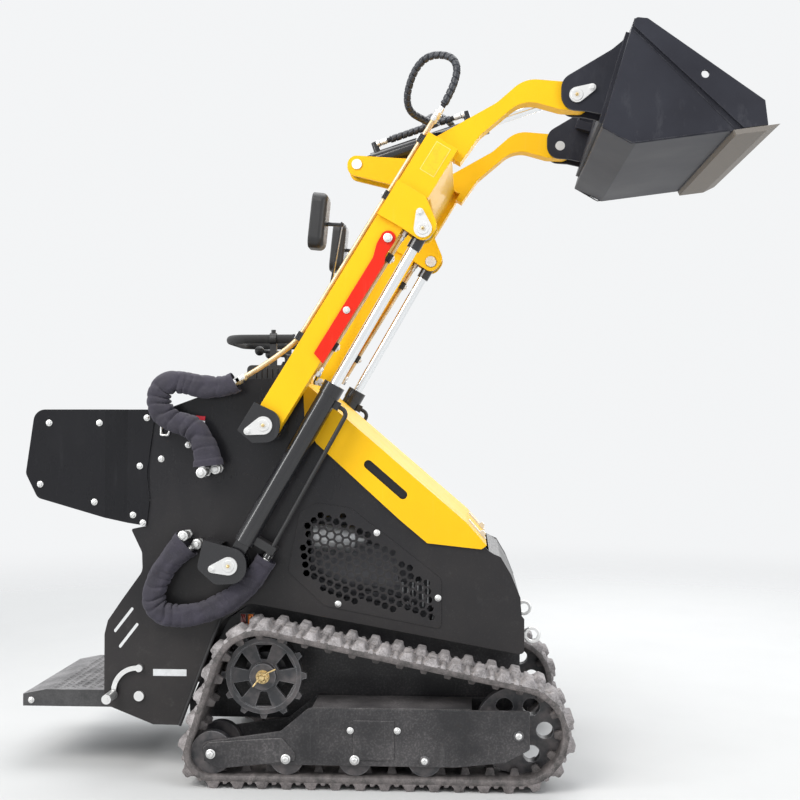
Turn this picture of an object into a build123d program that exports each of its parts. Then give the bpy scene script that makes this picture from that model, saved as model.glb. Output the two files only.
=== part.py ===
from build123d import *
import math
import os

# Millimetres. +X is forward, +Y is the machine's left, +Z is up.
# The origin is on the ground, midway along, across and under the machine.
# An outline is a table of rows (x, z, corner radius) in the XZ plane.

# Rubber track
TRACK_WIDTH = 180.0
TRACK_CENTRE_Y = 355.0
TRACK_LINKS = 37
BELT_THICK = 20.0
LUG_HEIGHT = 18.0
LUG_ROOT = 34.0
LUG_TIP = 24.0
GUIDE_WIDTH = 20.0
GUIDE_PLACE = 33.0
GUIDE_HEIGHT = 20.0
GUIDE_LENGTH = 26.0
GUIDE_GAP = 4.0
WHEEL_GAP = 0.3
BEND_FACET = 12.0

# Wheels inside the track: their centres and the belt's inner radius on them
REAR_X = -490.0
REAR_R = 60.0
DRIVE_X = -352.0
DRIVE_Z = 304.0
DRIVE_R = 126.0
TEETH = 12
TOOTH_HEIGHT = 14.0
WINDOWS = 6
MOTOR_R = 62.0
FRONT_X = 375.0
FRONT_R = 122.0
ROLLER_R = 49.0
ROLLER_XS = [-277.0, -83.0, 113.0]

# Track frame
FRAME_PLATE = 10.0
FRAME_HALF_WIDTH = 85.0
FRAME_TOP_Z = 228.0
AXLE_R = 14.0

# Chassis panels
SIDE_FACE_Y = 290.0
SIDE_PLATE = 6.0
PANEL = 5.0
TUB_HALF_WIDTH = 230.0
REAR_WALL_X = -560.0

DECK_REAR = (-407.0, 499.0)
DECK_FRONT = (387.0, 359.0)
CONSOLE_REAR = -439.0
CONSOLE_FRONT = -262.0
CONSOLE_Z = 1149.0
FRONT_PLATE_X = 392.0

# Hexagonal grilles
GRILLE_SHEET = 3.0
GRILLE_MARGIN = 18.0
HEX_PITCH = 25.0
HEX_HOLE = 18.5
HEX_TURN = -22.0

# Operator's controls on the console
HOUSING_REAR = -425.0
HOUSING_FRONT = -306.0
HOUSING_TOP = 1203.0
HOUSING_HALF_WIDTH = 250.0
BAR_Z = 1288.0
BAR_R = 14.0
BAR_FRONT = -300.0
BAR_REAR = -505.0
BAR_HALF_WIDTH = 150.0
POST_X = -362.0
POST_WIDTH = 20.0
RING_FIT = 0.05
LEVER_X = -330.0
LEVER_Y = 95.0
LEVER_R = 6.0
KNOB_R = 15.0

# Mirrors on flat bars
MIRROR_X = -205.0
MIRROR_Y = 270.0
MIRROR_Z = 1630.0
MIRROR_DEPTH = 46.0
MIRROR_WIDTH = 105.0
MIRROR_HEIGHT = 165.0
MIRROR_LEAN = 6.0
MIRROR_RIM = 9.0
GLASS = 2.5
STRAP = 5.0
STRAP_WIDTH = 24.0

# Tie-down eyes and the foot lever
EYE_RING = 20.0
EYE_BAR = 5.0
EYE_Y = 255.0
EYE_Z = 408.0
EYE_REACH = 30.0
LEVER_BOLT = (-736.0, 306.0)
ROLLER_PLACE = (-812.0, 229.0)
ROLLER_R_FOOT = 14.0

# Engine
ENGINE_REAR = -240.0
ENGINE_FRONT = 120.0
ENGINE_TOP = 745.0
ENGINE_HALF_WIDTH = 200.0

# Operator's platform
PLATFORM_REAR_X = -1099.0
PLATFORM_HINGE_X = -737.0
PLATFORM_HINGE_Z = 223.0
PLATFORM_EAR = 22.0
PLATFORM_HALF_WIDTH = 262.0
PLATFORM_PLATE = 6.0
PLATFORM_TOP_Z = 232.0
PLATFORM_FLANGE_Z = 182.0
PLATFORM_NOSE = 14.0
PLATFORM_RAMP = 70.0
PLATFORM_DROP = 14.0
HINGE_PIN_R = 12.0

# Rear wings beside the operator
WING_PLATE = 5.0
WING_FLARE = 30.0

# Boom pivot and lift cylinders
PIVOT_X = -351.0
PIVOT_Z = 1023.0
ARM_CENTRE_Y = 350.0
ARM_WIDTH = 50.0
ARM_DEPTH = 83.0
ARM_ANGLE = 58.2
ARM_LENGTH = 967.0
EAR_PLATE = 12.0
EAR_GAP = 5.0
PIN_R = 20.0
PIN_FIT = 0.06
LIFT_BASE_X = -451.0
LIFT_BASE_Z = 620.0
LIFT_PIN_BACK = 248.0
LIFT_PIN_OUT = 93.1
CYL_R = 30.0
BORE_GAP = 0.3
GLAND_LENGTH = 36.0
SOCKET_START = 14.0
ROD_R = 15.0
EYE_R = 28.0
EYE_WIDTH = 50.0
LIFT_NECK = 46.0
LIFT_BARREL = 602.0
LIFT_ROD_INSIDE = 75.0
EAR_WEB_R = 66.0
FLAG_LENGTH = 48.0
FLAG_TIP_R = 11.0
FLAG_PLATE = 6.0

# Boom head: a box beam across both arms, BEAM_LENGTH long to the arm's end
BEAM_LENGTH = 165.0
BEAM_LOW = -22.0
BEAM_HIGH = 57.0
BEAM_WALL = 8.0
TUBE_LENGTH = 135.0
TUBE_HIGH = 37.0

# Boom props, stored on the arms
PROP_HEAD_BACK = 322.0
PROP_HEAD_T = 21.0
PROP_HEAD_R = 22.0
PROP_LENGTH = 405.0
PROP_PLATE = 6.0
PROP_GAP = 1.0
PROP_PIN_R = 8.0

# Goosenecks, tilt cylinder and quick-attach frame
NECK_CENTRE_Y = 313.0
NECK_WIDTH = 56.0
BUCKET_PIN_AHEAD = 389.4
BUCKET_PIN_RISE = 126.2
NECK_LOW = -24.0
NECK_GUSSET = 24.0
HORN_BACK = 273.6
HORN_RISE = 2.2
HORN_PLATE = 12.0
HORN_R = 30.0
TILT_EYE_AHEAD = 74.0
TILT_EYE_RISE = 116.0
TILT_BARREL = 430.0
TILT_ROD_INSIDE = 90.0
TILT_EYE_WIDTH = 60.0
TILT_NECK = 22.0
ATTACH_PLATE = 10.0
ATTACH_HALF_WIDTH = 370.0
SMALL_PIN_R = 16.0

# Bucket
BUCKET_HALF_WIDTH = 445.0
BUCKET_PLATE = 8.0
CUTTER_PLATE = 10.0
CUTTER_HOLE_R = 11.0
EDGE_PLATE = 14.0

# Hood
HOOD_HINGE_X = -250.0
HOOD_HINGE_Z = 1168.0
HOOD_FLANGE_Y = 295.0
HOOD_SHEET = 4.0
HOOD_DROP = 18.0
HOOD_SLOT = (-6.0, 864.0)
HOOD_SLOT_TURN = -41.0
HOOD_SLOT_LENGTH = 160.0
HOOD_SLOT_WIDTH = 26.0
HOOD_KNUCKLE_R = 8.0
HOOD_PIN_R = 4.0
HINGE_Y = 150.0
HINGE_HALF = 50.0
HINGE_LEAF = 38.0
LATCH_WIDTH = 26.0
LATCH_PLATE = 5.0

# Pipes on the boom, hoses and their fittings
PIPE_R = 6.0
PIPE_OFF = 9.5
PIPE_SPREAD = 13.0
CLAMP_LENGTH = 26.0
HOSE_R = 7.5
LOOP_HOSE_R = 7.0
FITTING_R = 11.0
FITTING_LENGTH = 26.0
SLIM_FITTING_R = 9.0
ELBOW_REACH = 18.0
LINE_R = 6.5
LINE_HIGH_S = 552.0
LINE_HIGH_T = 72.0
LINE_LOW_S = 84.0
LINE_LOW_T = 80.0
LINE_LEAD = 156.0
UPPER_LEAD = 58.0
PORT_OUT = 52.0
PORT_REAR_S = 74.0
PORT_FRONT_S = 379.0

FRONT_Z = LUG_HEIGHT + BELT_THICK + FRONT_R
REAR_Z = LUG_HEIGHT + BELT_THICK + REAR_R
ROLLER_Z = LUG_HEIGHT + BELT_THICK + ROLLER_R
EAR_INNER_Y = ARM_CENTRE_Y + ARM_WIDTH / 2 + EAR_GAP
EAR_OUTER_Y = EAR_INNER_Y + EAR_PLATE
BOSS_FACE_Y = ARM_CENTRE_Y - ARM_WIDTH / 2 - EAR_GAP
BRACKET_FACE_Y = BOSS_FACE_Y - EAR_PLATE
ARM_FACE_Y = ARM_CENTRE_Y + ARM_WIDTH / 2
BEAM_START = ARM_LENGTH - BEAM_LENGTH
TUBE_START = ARM_LENGTH - TUBE_LENGTH
LIFT_PIN_S = ARM_LENGTH - LIFT_PIN_BACK
PROP_HEAD_S = ARM_LENGTH - PROP_HEAD_BACK


def outline(rows):
    """Closed face from rows of x, z and corner radius."""
    points = [(x, z) for x, z, _ in rows]
    return make_face(FilletPolyline(*points, radius=[r for _, _, r in rows], close=True))


def between(face, low_y, high_y):
    """A face drawn in x and z, made solid from low_y to high_y."""
    plane = Plane(origin=(0, high_y, 0), x_dir=(1, 0, 0), z_dir=(0, -1, 0))
    return extrude(plane * face, amount=high_y - low_y)


def slab(rows, low_y, high_y):
    return between(outline(rows), low_y, high_y)


def rod_across(x, z, radius, low_y, high_y):
    """A round bar along Y."""
    return between(Pos(x, z) * Circle(radius), low_y, high_y)


def box_at(low, high):
    size = [b - a for a, b in zip(low, high)]
    middle = [(a + b) / 2 for a, b in zip(low, high)]
    return Pos(*middle) * Box(*size)


def fuse(pieces):
    total = pieces[0]
    for piece in pieces[1:]:
        total = total + piece
    return total


def left(shape):
    """The left-hand twin of a right-hand shape."""
    return mirror(shape, about=Plane.XZ)


def save(name, *shapes):
    solids = [solid for shape in shapes for solid in shape.solids()]
    shape = solids[0] if len(solids) == 1 else Compound(children=solids)
    export_step(shape, f"parts/{name}.step")


def save_pair(name, *shapes):
    """A right-hand piece and its left-hand twin, each a node."""
    save(f"{name}_right", *shapes)
    save(f"{name}_left", *[left(shape) for shape in shapes])


def save_both(name, *shapes):
    """Right-hand pieces and their left-hand twins, in one node."""
    save(name, *shapes, *[left(shape) for shape in shapes])


def along(angle):
    """Unit vector at an angle in the XZ plane."""
    return math.cos(math.radians(angle)), math.sin(math.radians(angle))


def place(origin, angle, s, t):
    """Point s along an axis at an angle from origin, and t to its right."""
    c, d = along(angle)
    return origin[0] + s * c + t * d, origin[1] + s * d - t * c


def placed(origin, angle, rows):
    """Rows of s, t and radius, turned into rows of x, z and radius."""
    return [(*place(origin, angle, s, t), r) for s, t, r in rows]


def heading(start, end):
    """The angle of the line from one point to another."""
    return math.degrees(math.atan2(end[1] - start[1], end[0] - start[0]))


def shift(origin, dx, dz):
    return origin[0] + dx, origin[1] + dz


def beside(origin, rows):
    """Rows measured from a point, turned into rows of x, z and radius."""
    return [(*shift(origin, dx, dz), r) for dx, dz, r in rows]


def ribbon(path, thick):
    """Rows round a folded sheet: its path, and its other face to the right of it."""
    spots = [Vector(*spot) for spot in path]
    last = len(spots) - 1
    inner = []
    for i, spot in enumerate(spots):
        before = (spots[max(i, 1)] - spots[max(i, 1) - 1]).normalized()
        after = (spots[min(i, last - 1) + 1] - spots[min(i, last - 1)]).normalized()
        right = Vector(before.Y + after.Y, -before.X - after.X).normalized()
        inner.append(spot + right * (thick / right.dot(Vector(before.Y, -before.X))))
    return [(spot.X, spot.Y, 0) for spot in spots + inner[::-1]]


def bent_path(points, share):
    """Straight runs joined by tangent bends, each as wide as a share of its shorter run."""
    spots = [Vector(*point) for point in points]
    edges = []
    radii = []
    start = spots[0]
    for a, b, c in zip(spots, spots[1:], spots[2:]):
        back = (a - b).normalized()
        onward = (c - b).normalized()
        cut = share * min((a - b).length, (c - b).length)
        half = math.radians(back.get_angle(onward)) / 2
        radius = cut * math.tan(half)
        radii.append(radius)
        middle = b + (back + onward).normalized() * (radius / math.sin(half) - radius)
        edges.append(Line(start, b + back * cut))
        edges.append(ThreePointArc(b + back * cut, middle, b + onward * cut))
        start = b + onward * cut
    edges.append(Line(start, spots[-1]))
    return Wire(edges), radii


def tube(points, radius, share=0.45):
    """A round bar or hose through points of x, y and z."""
    path, _ = bent_path(points, share)
    return sweep(Plane(origin=path @ 0, z_dir=path % 0) * Circle(radius), path=path)


def bar(start, end, radius):
    """A straight round bar between two points of x, y and z."""
    axis = Vector(*end) - Vector(*start)
    return extrude(Plane(origin=start, z_dir=axis) * Circle(radius), amount=axis.length)


def at_y(y, points):
    """Points of x and z, placed at one y."""
    return [(x, y, z) for x, z in points]


TRACK_CIRCLES = [(REAR_X, REAR_Z, REAR_R), (FRONT_X, FRONT_Z, FRONT_R), (DRIVE_X, DRIVE_Z, DRIVE_R)]


def track_loop(height):
    """The loop round the wheels at a height over their rims, its bends in even facets."""
    count = len(TRACK_CIRCLES)
    leaving = []
    for i in range(count):
        x0, z0, r0 = TRACK_CIRCLES[i]
        x1, z1, r1 = TRACK_CIRCLES[(i + 1) % count]
        direction = math.atan2(z1 - z0, x1 - x0)
        leaving.append(direction - math.acos((r0 - r1) / math.hypot(x1 - x0, z1 - z0)))
    corners = []
    for i in range(count):
        x, z, r = TRACK_CIRCLES[i]
        turn = (leaving[i] - leaving[i - 1]) % (2 * math.pi)
        facets = math.ceil(math.degrees(turn) / BEND_FACET)
        step = turn / facets
        reach = (r + height) / math.cos(step / 2)
        for k in range(facets):
            a = leaving[i - 1] + (k + 0.5) * step
            corners.append((x + reach * math.cos(a), z + reach * math.sin(a)))
    return make_face(Polyline(*corners, close=True))


def lug_row(phase, base, height, root, tip):
    """Trapezoid faces on the track's middle line, one per link."""
    middle = track_loop(BELT_THICK / 2).face().outer_wire()
    faces = []
    for k in range(TRACK_LINKS):
        u = ((k + phase) / TRACK_LINKS) % 1.0
        point = middle @ u
        tangent = middle % u
        normal = Vector(tangent.Y, -tangent.X)
        corners = []
        for along_belt, out in [(-root / 2, base), (-tip / 2, height), (tip / 2, height), (root / 2, base)]:
            corner = point + tangent * along_belt + normal * out
            corners.append((corner.X, corner.Y))
        faces.append(make_face(Polyline(*corners, close=True)))
    return faces


def track():
    """The right-hand track: a belt with two staggered rows of lugs and a row of guides."""
    middle = -TRACK_CENTRE_Y
    half = TRACK_WIDTH / 2
    out = BELT_THICK / 2 + LUG_HEIGHT
    belt = between(track_loop(BELT_THICK) - track_loop(0), middle - half, middle + half)
    rows = [(0.0, middle - half, middle), (0.5, middle, middle + half)]
    pieces = []
    for phase, low_y, high_y in rows:
        for face in lug_row(phase, BELT_THICK / 4, out, LUG_ROOT, LUG_TIP):
            pieces.append(between(face, low_y, high_y))
    inner = -BELT_THICK / 2
    for face in lug_row(0.25, inner / 2, inner - GUIDE_HEIGHT, GUIDE_LENGTH, GUIDE_LENGTH * 0.7):
        for side in (-GUIDE_PLACE, GUIDE_PLACE):
            pieces.append(between(face, middle + side - GUIDE_WIDTH / 2, middle + side + GUIDE_WIDTH / 2))
    return belt.fuse(*pieces)


# Wheels of the right-hand track
def split_wheel(x, z, radius, shaft_reach):
    """Two discs on a shaft, outside both rows of guides."""
    middle = -TRACK_CENTRE_Y
    inner = GUIDE_PLACE + GUIDE_WIDTH / 2 + GUIDE_GAP
    outer = FRAME_HALF_WIDTH - FRAME_PLATE - GUIDE_GAP
    pieces = [
        rod_across(x, z, radius - WHEEL_GAP, middle - outer, middle - inner),
        rod_across(x, z, radius - WHEEL_GAP, middle + inner, middle + outer),
        rod_across(x, z, AXLE_R, middle - shaft_reach, middle + shaft_reach),
        rod_across(x, z, AXLE_R * 1.8, middle - outer, middle + outer),
    ]
    return fuse(pieces)


def centre_wheel(x, z, radius, shaft_reach, holes, hole_r, hole_ring):
    """A holed disc between both rows of guides, on a shaft with a long hub."""
    middle = -TRACK_CENTRE_Y
    half = GUIDE_PLACE - GUIDE_WIDTH / 2 - GUIDE_GAP
    hub = FRAME_HALF_WIDTH - FRAME_PLATE - GUIDE_GAP
    disc = Circle(radius - WHEEL_GAP)
    for k in range(holes):
        a = 2 * math.pi * k / holes
        disc = disc - Pos(hole_ring * math.cos(a), hole_ring * math.sin(a)) * Circle(hole_r)
    pieces = [
        between(Pos(x, z) * disc, middle - half, middle + half),
        rod_across(x, z, AXLE_R, middle - shaft_reach, middle + shaft_reach),
        rod_across(x, z, AXLE_R * 2.2, middle - hub, middle + hub),
    ]
    return fuse(pieces)


def sprocket():
    """A toothed disc with windows, a rim ring, a hub and its nut."""
    middle = -TRACK_CENTRE_Y
    tip_r = DRIVE_R - WHEEL_GAP - 2
    rim_r = tip_r - TOOTH_HEIGHT
    face = Circle(rim_r)
    tooth = Polygon((rim_r - 4, -13), (tip_r, -7), (tip_r, 7), (rim_r - 4, 13), align=None)
    for k in range(TEETH):
        face = face + Rot(0, 0, 360 * k / TEETH) * tooth
    window = Polygon((46, -9), (88, -24), (88, 24), (46, 9), align=None)
    for k in range(WINDOWS):
        face = face - Rot(0, 0, 360 * (k + 0.5) / WINDOWS) * window
    disc = between(Pos(DRIVE_X, DRIVE_Z) * face, middle - 14, middle + 2)
    rim = between(Pos(DRIVE_X, DRIVE_Z) * (Circle(rim_r) - Circle(rim_r - 14)), middle - 18, middle + 18)
    hub = rod_across(DRIVE_X, DRIVE_Z, 38, middle - 34, middle + 20)
    nut = between(Pos(DRIVE_X, DRIVE_Z) * RegularPolygon(15, 6), middle - 46, middle - 34)
    return fuse([disc, rim, hub, nut])


def drive_motor():
    """The hydraulic motor's housing, from the tub to the sprocket's hub."""
    return rod_across(DRIVE_X, DRIVE_Z, MOTOR_R, -TRACK_CENTRE_Y + 20, -TUB_HALF_WIDTH)


TRACK_FRAME_ROWS = [
    (-522, REAR_Z + 30, 20),
    (-293, 162, 15),
    (-214, FRAME_TOP_Z, 12),
    (406, FRAME_TOP_Z, 6),
    (406, 122, 10),
    (337, 85, 0),
    (200, 70, 0),
    (-505, 70, 20),
]


def track_frame():
    """Inner and outer plates with a cover between them, holed for the wheels' shafts."""
    middle = -TRACK_CENTRE_Y
    half = FRAME_HALF_WIDTH
    plates = [
        slab(TRACK_FRAME_ROWS, middle - half, middle - half + FRAME_PLATE),
        slab(TRACK_FRAME_ROWS, middle + half - FRAME_PLATE, middle + half),
    ]
    cover = box_at(
        (-205, middle - half, FRAME_TOP_Z - 8),
        (FRONT_X - FRONT_R - 8, middle + half, FRAME_TOP_Z),
    )
    frame = fuse(plates + [cover])
    for x, z in shaft_places():
        frame = frame - rod_across(x, z, AXLE_R, middle - half - 1, middle + half + 1)
    stubs = []
    for x in (-150, 190):
        stubs.append(box_at((x - 45, middle + half, 130), (x + 45, -TUB_HALF_WIDTH, 210)))
    return fuse([frame] + stubs)


def shaft_places():
    return [(REAR_X, REAR_Z), (FRONT_X, FRONT_Z)] + [(x, ROLLER_Z) for x in ROLLER_XS]


# Chassis: the side plate's outline and what stands between both side plates
PLATE_ROWS = [
    (-712, 1070, 8),
    (-663, 1070, 30),
    (-549, 1112, 60),
    (-439, 1160, 40),
    (-262, 1164, 0),
    (-262, 1148, 0),
    (230, 724, 0),
    (300, 652, 0),
    (330, 639, 0),
    (360, 588, 0),
    (387, 521, 0),
    (389, 470, 0),
    (398, 459, 0),
    (398, 363, 10),
    (385, 357, 0),
    (-407, 499, 30),
    (-491, 446, 30),
    (-613, 160, 10),
    (-618, 138, 0),
    (-695, 139, 0),
    (-820, 188, 8),
    (-843, 203, 8),
    (-843, 404, 30),
    (-833, 444, 10),
    (-789, 508, 20),
    (-729, 591, 40),
    (-731, 647, 30),
    (-764, 715, 5),
    (-716, 725, 0),
    (-707, 805, 60),
]

GRILLE_ROWS = [
    (-259, 768, 12),
    (-209, 795, 25),
    (-111, 780, 40),
    (30, 673, 0),
    (156, 574, 25),
    (156, 429, 12),
    (-185, 493, 20),
    (-294, 594, 20),
]
STEP_SLOTS = [(-786, 446), (-771, 400)]
STEP_SLOT_TURN = 52.0
STEP_SLOT_LENGTH = 92.0
STEP_SLOT_WIDTH = 9.0


def side_plate():
    face = outline(PLATE_ROWS)
    face = face - offset(outline(GRILLE_ROWS), -GRILLE_MARGIN)
    for x, z in STEP_SLOTS:
        slot = SlotOverall(STEP_SLOT_LENGTH, STEP_SLOT_WIDTH)
        face = face - Pos(x, z) * Rot(0, 0, STEP_SLOT_TURN) * slot
    plate = between(face, -SIDE_FACE_Y, -SIDE_FACE_Y + SIDE_PLATE)
    return plate - rod_across(PLATFORM_HINGE_X, PLATFORM_HINGE_Z, HINGE_PIN_R, -400, 0)


def grille():
    """A sheet over the side plate's opening, with rows of hexagonal holes."""
    sheet = outline(GRILLE_ROWS)
    field = offset(sheet, -GRILLE_MARGIN - HEX_HOLE / 2).face()
    box = sheet.bounding_box()
    middle = box.center()
    reach = math.ceil(box.diagonal / HEX_PITCH / 2)
    row_step = HEX_PITCH * math.sin(math.radians(60))
    turned = Pos(middle.X, middle.Y) * Rot(0, 0, HEX_TURN)
    holes = []
    for row in range(-reach, reach + 1):
        for column in range(-reach, reach + 1):
            spot = turned * Pos((column + row % 2 / 2) * HEX_PITCH, row * row_step)
            if field.is_inside(spot.position):
                holes.append(spot * Rot(0, 0, 30) * RegularPolygon(HEX_HOLE / 2, 6, major_radius=False))
    return between(sheet - holes, -SIDE_FACE_Y - GRILLE_SHEET, -SIDE_FACE_Y)


def pivot_mount(x, z, ear_rows):
    """An outer ear, its web and the inner boss that hold one pin on a side plate."""
    ear = slab(ear_rows, -EAR_OUTER_Y, -EAR_INNER_Y)
    inside = outline(ear_rows)
    web = between(inside & Pos(x, z) * (Circle(200) - Circle(EAR_WEB_R)), -EAR_INNER_Y, -SIDE_FACE_Y)
    boss = rod_across(x, z, 46, -BOSS_FACE_Y, -SIDE_FACE_Y)
    mount = fuse([ear, web, boss])
    return mount - rod_across(x, z, PIN_R, -EAR_OUTER_Y - 1, -SIDE_FACE_Y + 1)


PIVOT_EAR_ROWS = [
    (PIVOT_X - 27, PIVOT_Z + 67, 0),
    (PIVOT_X - 76, PIVOT_Z - 14, 4),
    (PIVOT_X - 32, PIVOT_Z - 50, 4),
    (PIVOT_X + 40, PIVOT_Z - 48, 40),
    (PIVOT_X + 52, PIVOT_Z + 30, 40),
]
LIFT_EAR_ROWS = [
    (LIFT_BASE_X - 74, LIFT_BASE_Z + 74, 0),
    (LIFT_BASE_X - 92, LIFT_BASE_Z - 8, 20),
    (LIFT_BASE_X - 40, LIFT_BASE_Z - 54, 30),
    (LIFT_BASE_X + 52, LIFT_BASE_Z - 50, 45),
    (LIFT_BASE_X + 50, LIFT_BASE_Z + 40, 45),
]


def pin_with_flag(x, z, radius, flag_angle, low_y, high_y):
    """A pin along Y whose retaining flag lies against the outer ear."""
    c, d = along(flag_angle)
    tip = Pos(x + FLAG_LENGTH * c, z + FLAG_LENGTH * d) * Circle(FLAG_TIP_R)
    flag = make_hull((Pos(x, z) * Circle(radius + 6)).edges() + tip.edges())
    pin = rod_across(x, z, radius, low_y, high_y)
    return fuse([pin, between(flag, low_y - FLAG_PLATE, low_y)])


def chassis_tub():
    """The closed belly between the tracks, with the hydraulic tank in it."""
    rows = [
        (-600, 150, 20),
        (330, 150, 60),
        (DECK_FRONT[0], 210, 20),
        (*DECK_FRONT, 0),
        (*DECK_REAR, 20),
        (-484, 440, 20),
        (-600, 190, 20),
    ]
    return slab(rows, -TUB_HALF_WIDTH, TUB_HALF_WIDTH)


FRONT_PATH = [
    (296, 656),
    (330, 636),
    (360, 585),
    (386, 521),
    (FRONT_PLATE_X, 459),
    (FRONT_PLATE_X, 358),
]


def chassis_panels():
    """Deck, rear wall, console top and front plate, welded between the side plates."""
    half = SIDE_FACE_Y - SIDE_PLATE
    deck = slab([
        (*DECK_REAR, 0),
        (*DECK_FRONT, 0),
        (DECK_FRONT[0], DECK_FRONT[1] + PANEL, 0),
        (DECK_REAR[0], DECK_REAR[1] + PANEL, 0),
    ], -half, half)
    wall = box_at((REAR_WALL_X, -half, 300), (REAR_WALL_X + PANEL, half, 1085))
    top = slab(ribbon([
        (REAR_WALL_X, 1090),
        (CONSOLE_REAR, CONSOLE_Z),
        (CONSOLE_FRONT, CONSOLE_Z),
    ], PANEL), -half, half)
    front = slab(ribbon(FRONT_PATH, PANEL), -half, half)
    return deck, wall, top, front


def wing():
    """The guard beside the operator: flat, joggled outwards, flat again."""
    rows = [
        (-1044, 1070, 35),
        (-690, 1070, 10),
        (-716, 882, 120),
        (-707, 805, 60),
        (-716, 725, 0),
        (-774, 734, 0),
        (-1035, 809, 25),
        (-1071, 881, 25),
    ]
    inner = SIDE_FACE_Y
    outer = SIDE_FACE_Y + WING_FLARE
    plan = ribbon([(-1080, -outer), (-835, -outer), (-775, -inner), (-680, -inner)], WING_PLATE)
    strip = extrude(Plane.XY.offset(700) * outline(plan), amount=400)
    return strip & slab(rows, -400, 0)


def platform():
    """The operator's folding step, with side flanges that reach the hinge pin."""
    half = PLATFORM_HALF_WIDTH
    low = PLATFORM_FLANGE_Z
    top = PLATFORM_TOP_Z
    rear = PLATFORM_REAR_X
    front = PLATFORM_HINGE_X + PLATFORM_NOSE
    sheet = slab([
        (rear, low, 0),
        (rear, top - PLATFORM_DROP, 0),
        (rear + PLATFORM_RAMP, top, 0),
        (front, top, 0),
        (front, top - PLATFORM_PLATE, 0),
        (rear + PLATFORM_RAMP, top - PLATFORM_PLATE, 0),
        (rear + PLATFORM_PLATE, top - PLATFORM_DROP - PLATFORM_PLATE, 0),
        (rear + PLATFORM_PLATE, low, 0),
    ], -half + PLATFORM_PLATE, half - PLATFORM_PLATE)
    hinge = PLATFORM_HINGE_X
    ear_top = PLATFORM_HINGE_Z + PLATFORM_EAR
    flange = slab([
        (rear, low, 0),
        (hinge + PLATFORM_EAR, low, 14),
        (hinge + PLATFORM_EAR, ear_top, 16),
        (hinge - PLATFORM_EAR, ear_top, 8),
        (hinge - PLATFORM_EAR * 2, top, 0),
        (rear + PLATFORM_RAMP, top, 0),
        (rear, top - PLATFORM_DROP, 0),
    ], -half, -half + PLATFORM_PLATE)
    flange = flange - rod_across(PLATFORM_HINGE_X, PLATFORM_HINGE_Z, HINGE_PIN_R + PIN_FIT, -half - 1, 0)
    return sheet + flange + left(flange)


def platform_pins():
    high = -PLATFORM_HALF_WIDTH + PLATFORM_PLATE - 1
    pin = rod_across(PLATFORM_HINGE_X, PLATFORM_HINGE_Z, HINGE_PIN_R, -SIDE_FACE_Y, high)
    head = rod_across(PLATFORM_HINGE_X, PLATFORM_HINGE_Z, HINGE_PIN_R + 3, -SIDE_FACE_Y - 8, -SIDE_FACE_Y)
    return pin + head


def engine():
    """The engine's block, its foot along the deck's slope."""
    rise = (DECK_FRONT[1] - DECK_REAR[1]) / (DECK_FRONT[0] - DECK_REAR[0])
    foot = []
    for x in (ENGINE_FRONT, ENGINE_REAR):
        foot.append((x, DECK_REAR[1] + (x - DECK_REAR[0]) * rise + PANEL * 1.02, 0))
    return slab([
        (ENGINE_REAR, ENGINE_TOP, 30),
        (ENGINE_FRONT, ENGINE_TOP, 30),
        *foot,
    ], -ENGINE_HALF_WIDTH, ENGINE_HALF_WIDTH)


HOOD_START = (HOOD_HINGE_X + HOOD_SHEET, HOOD_HINGE_Z - HOOD_DROP)
HOOD_SLOPE_END = (230.0, 740.0)
HOOD_FRONT = (289.0, 673.0)
HOOD_EDGE_ROWS = [
    (274, 662, 4),
    (116, 679, 0),
    (36, 746, 0),
    (-211, 971, 10),
    (-245, 1041, 10),
]


def hood():
    """A folded sheet: a sloping top and two side flanges with a slot in each."""
    half = HOOD_FLANGE_Y + HOOD_SHEET
    face = outline([
        (*HOOD_START, 0),
        (*HOOD_SLOPE_END, 0),
        (*HOOD_FRONT, 0),
        *HOOD_EDGE_ROWS,
        (*shift(HOOD_START, -4, -6), 0),
    ])
    slot = SlotOverall(HOOD_SLOT_LENGTH, HOOD_SLOT_WIDTH)
    face = face - Pos(*HOOD_SLOT) * Rot(0, 0, HOOD_SLOT_TURN) * slot
    flange = between(face, -half, -HOOD_FLANGE_Y)
    top = slab(ribbon([HOOD_START, HOOD_SLOPE_END, HOOD_FRONT], HOOD_SHEET), -half, half)
    pieces = [top, flange, left(flange)]
    knuckle_half = HINGE_HALF / 2
    start, rise = HOOD_START
    for y in (-HINGE_Y, HINGE_Y):
        pieces.append(rod_across(
            HOOD_HINGE_X, HOOD_HINGE_Z, HOOD_KNUCKLE_R, y - knuckle_half, y + knuckle_half))
        pieces.append(box_at(
            (start, y - knuckle_half, rise - HOOD_SHEET - 1),
            (start + HOOD_SHEET, y + knuckle_half, HOOD_HINGE_Z)))
    return fuse(pieces) - rod_across(HOOD_HINGE_X, HOOD_HINGE_Z, HOOD_PIN_R + PIN_FIT, -half, half)


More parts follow.
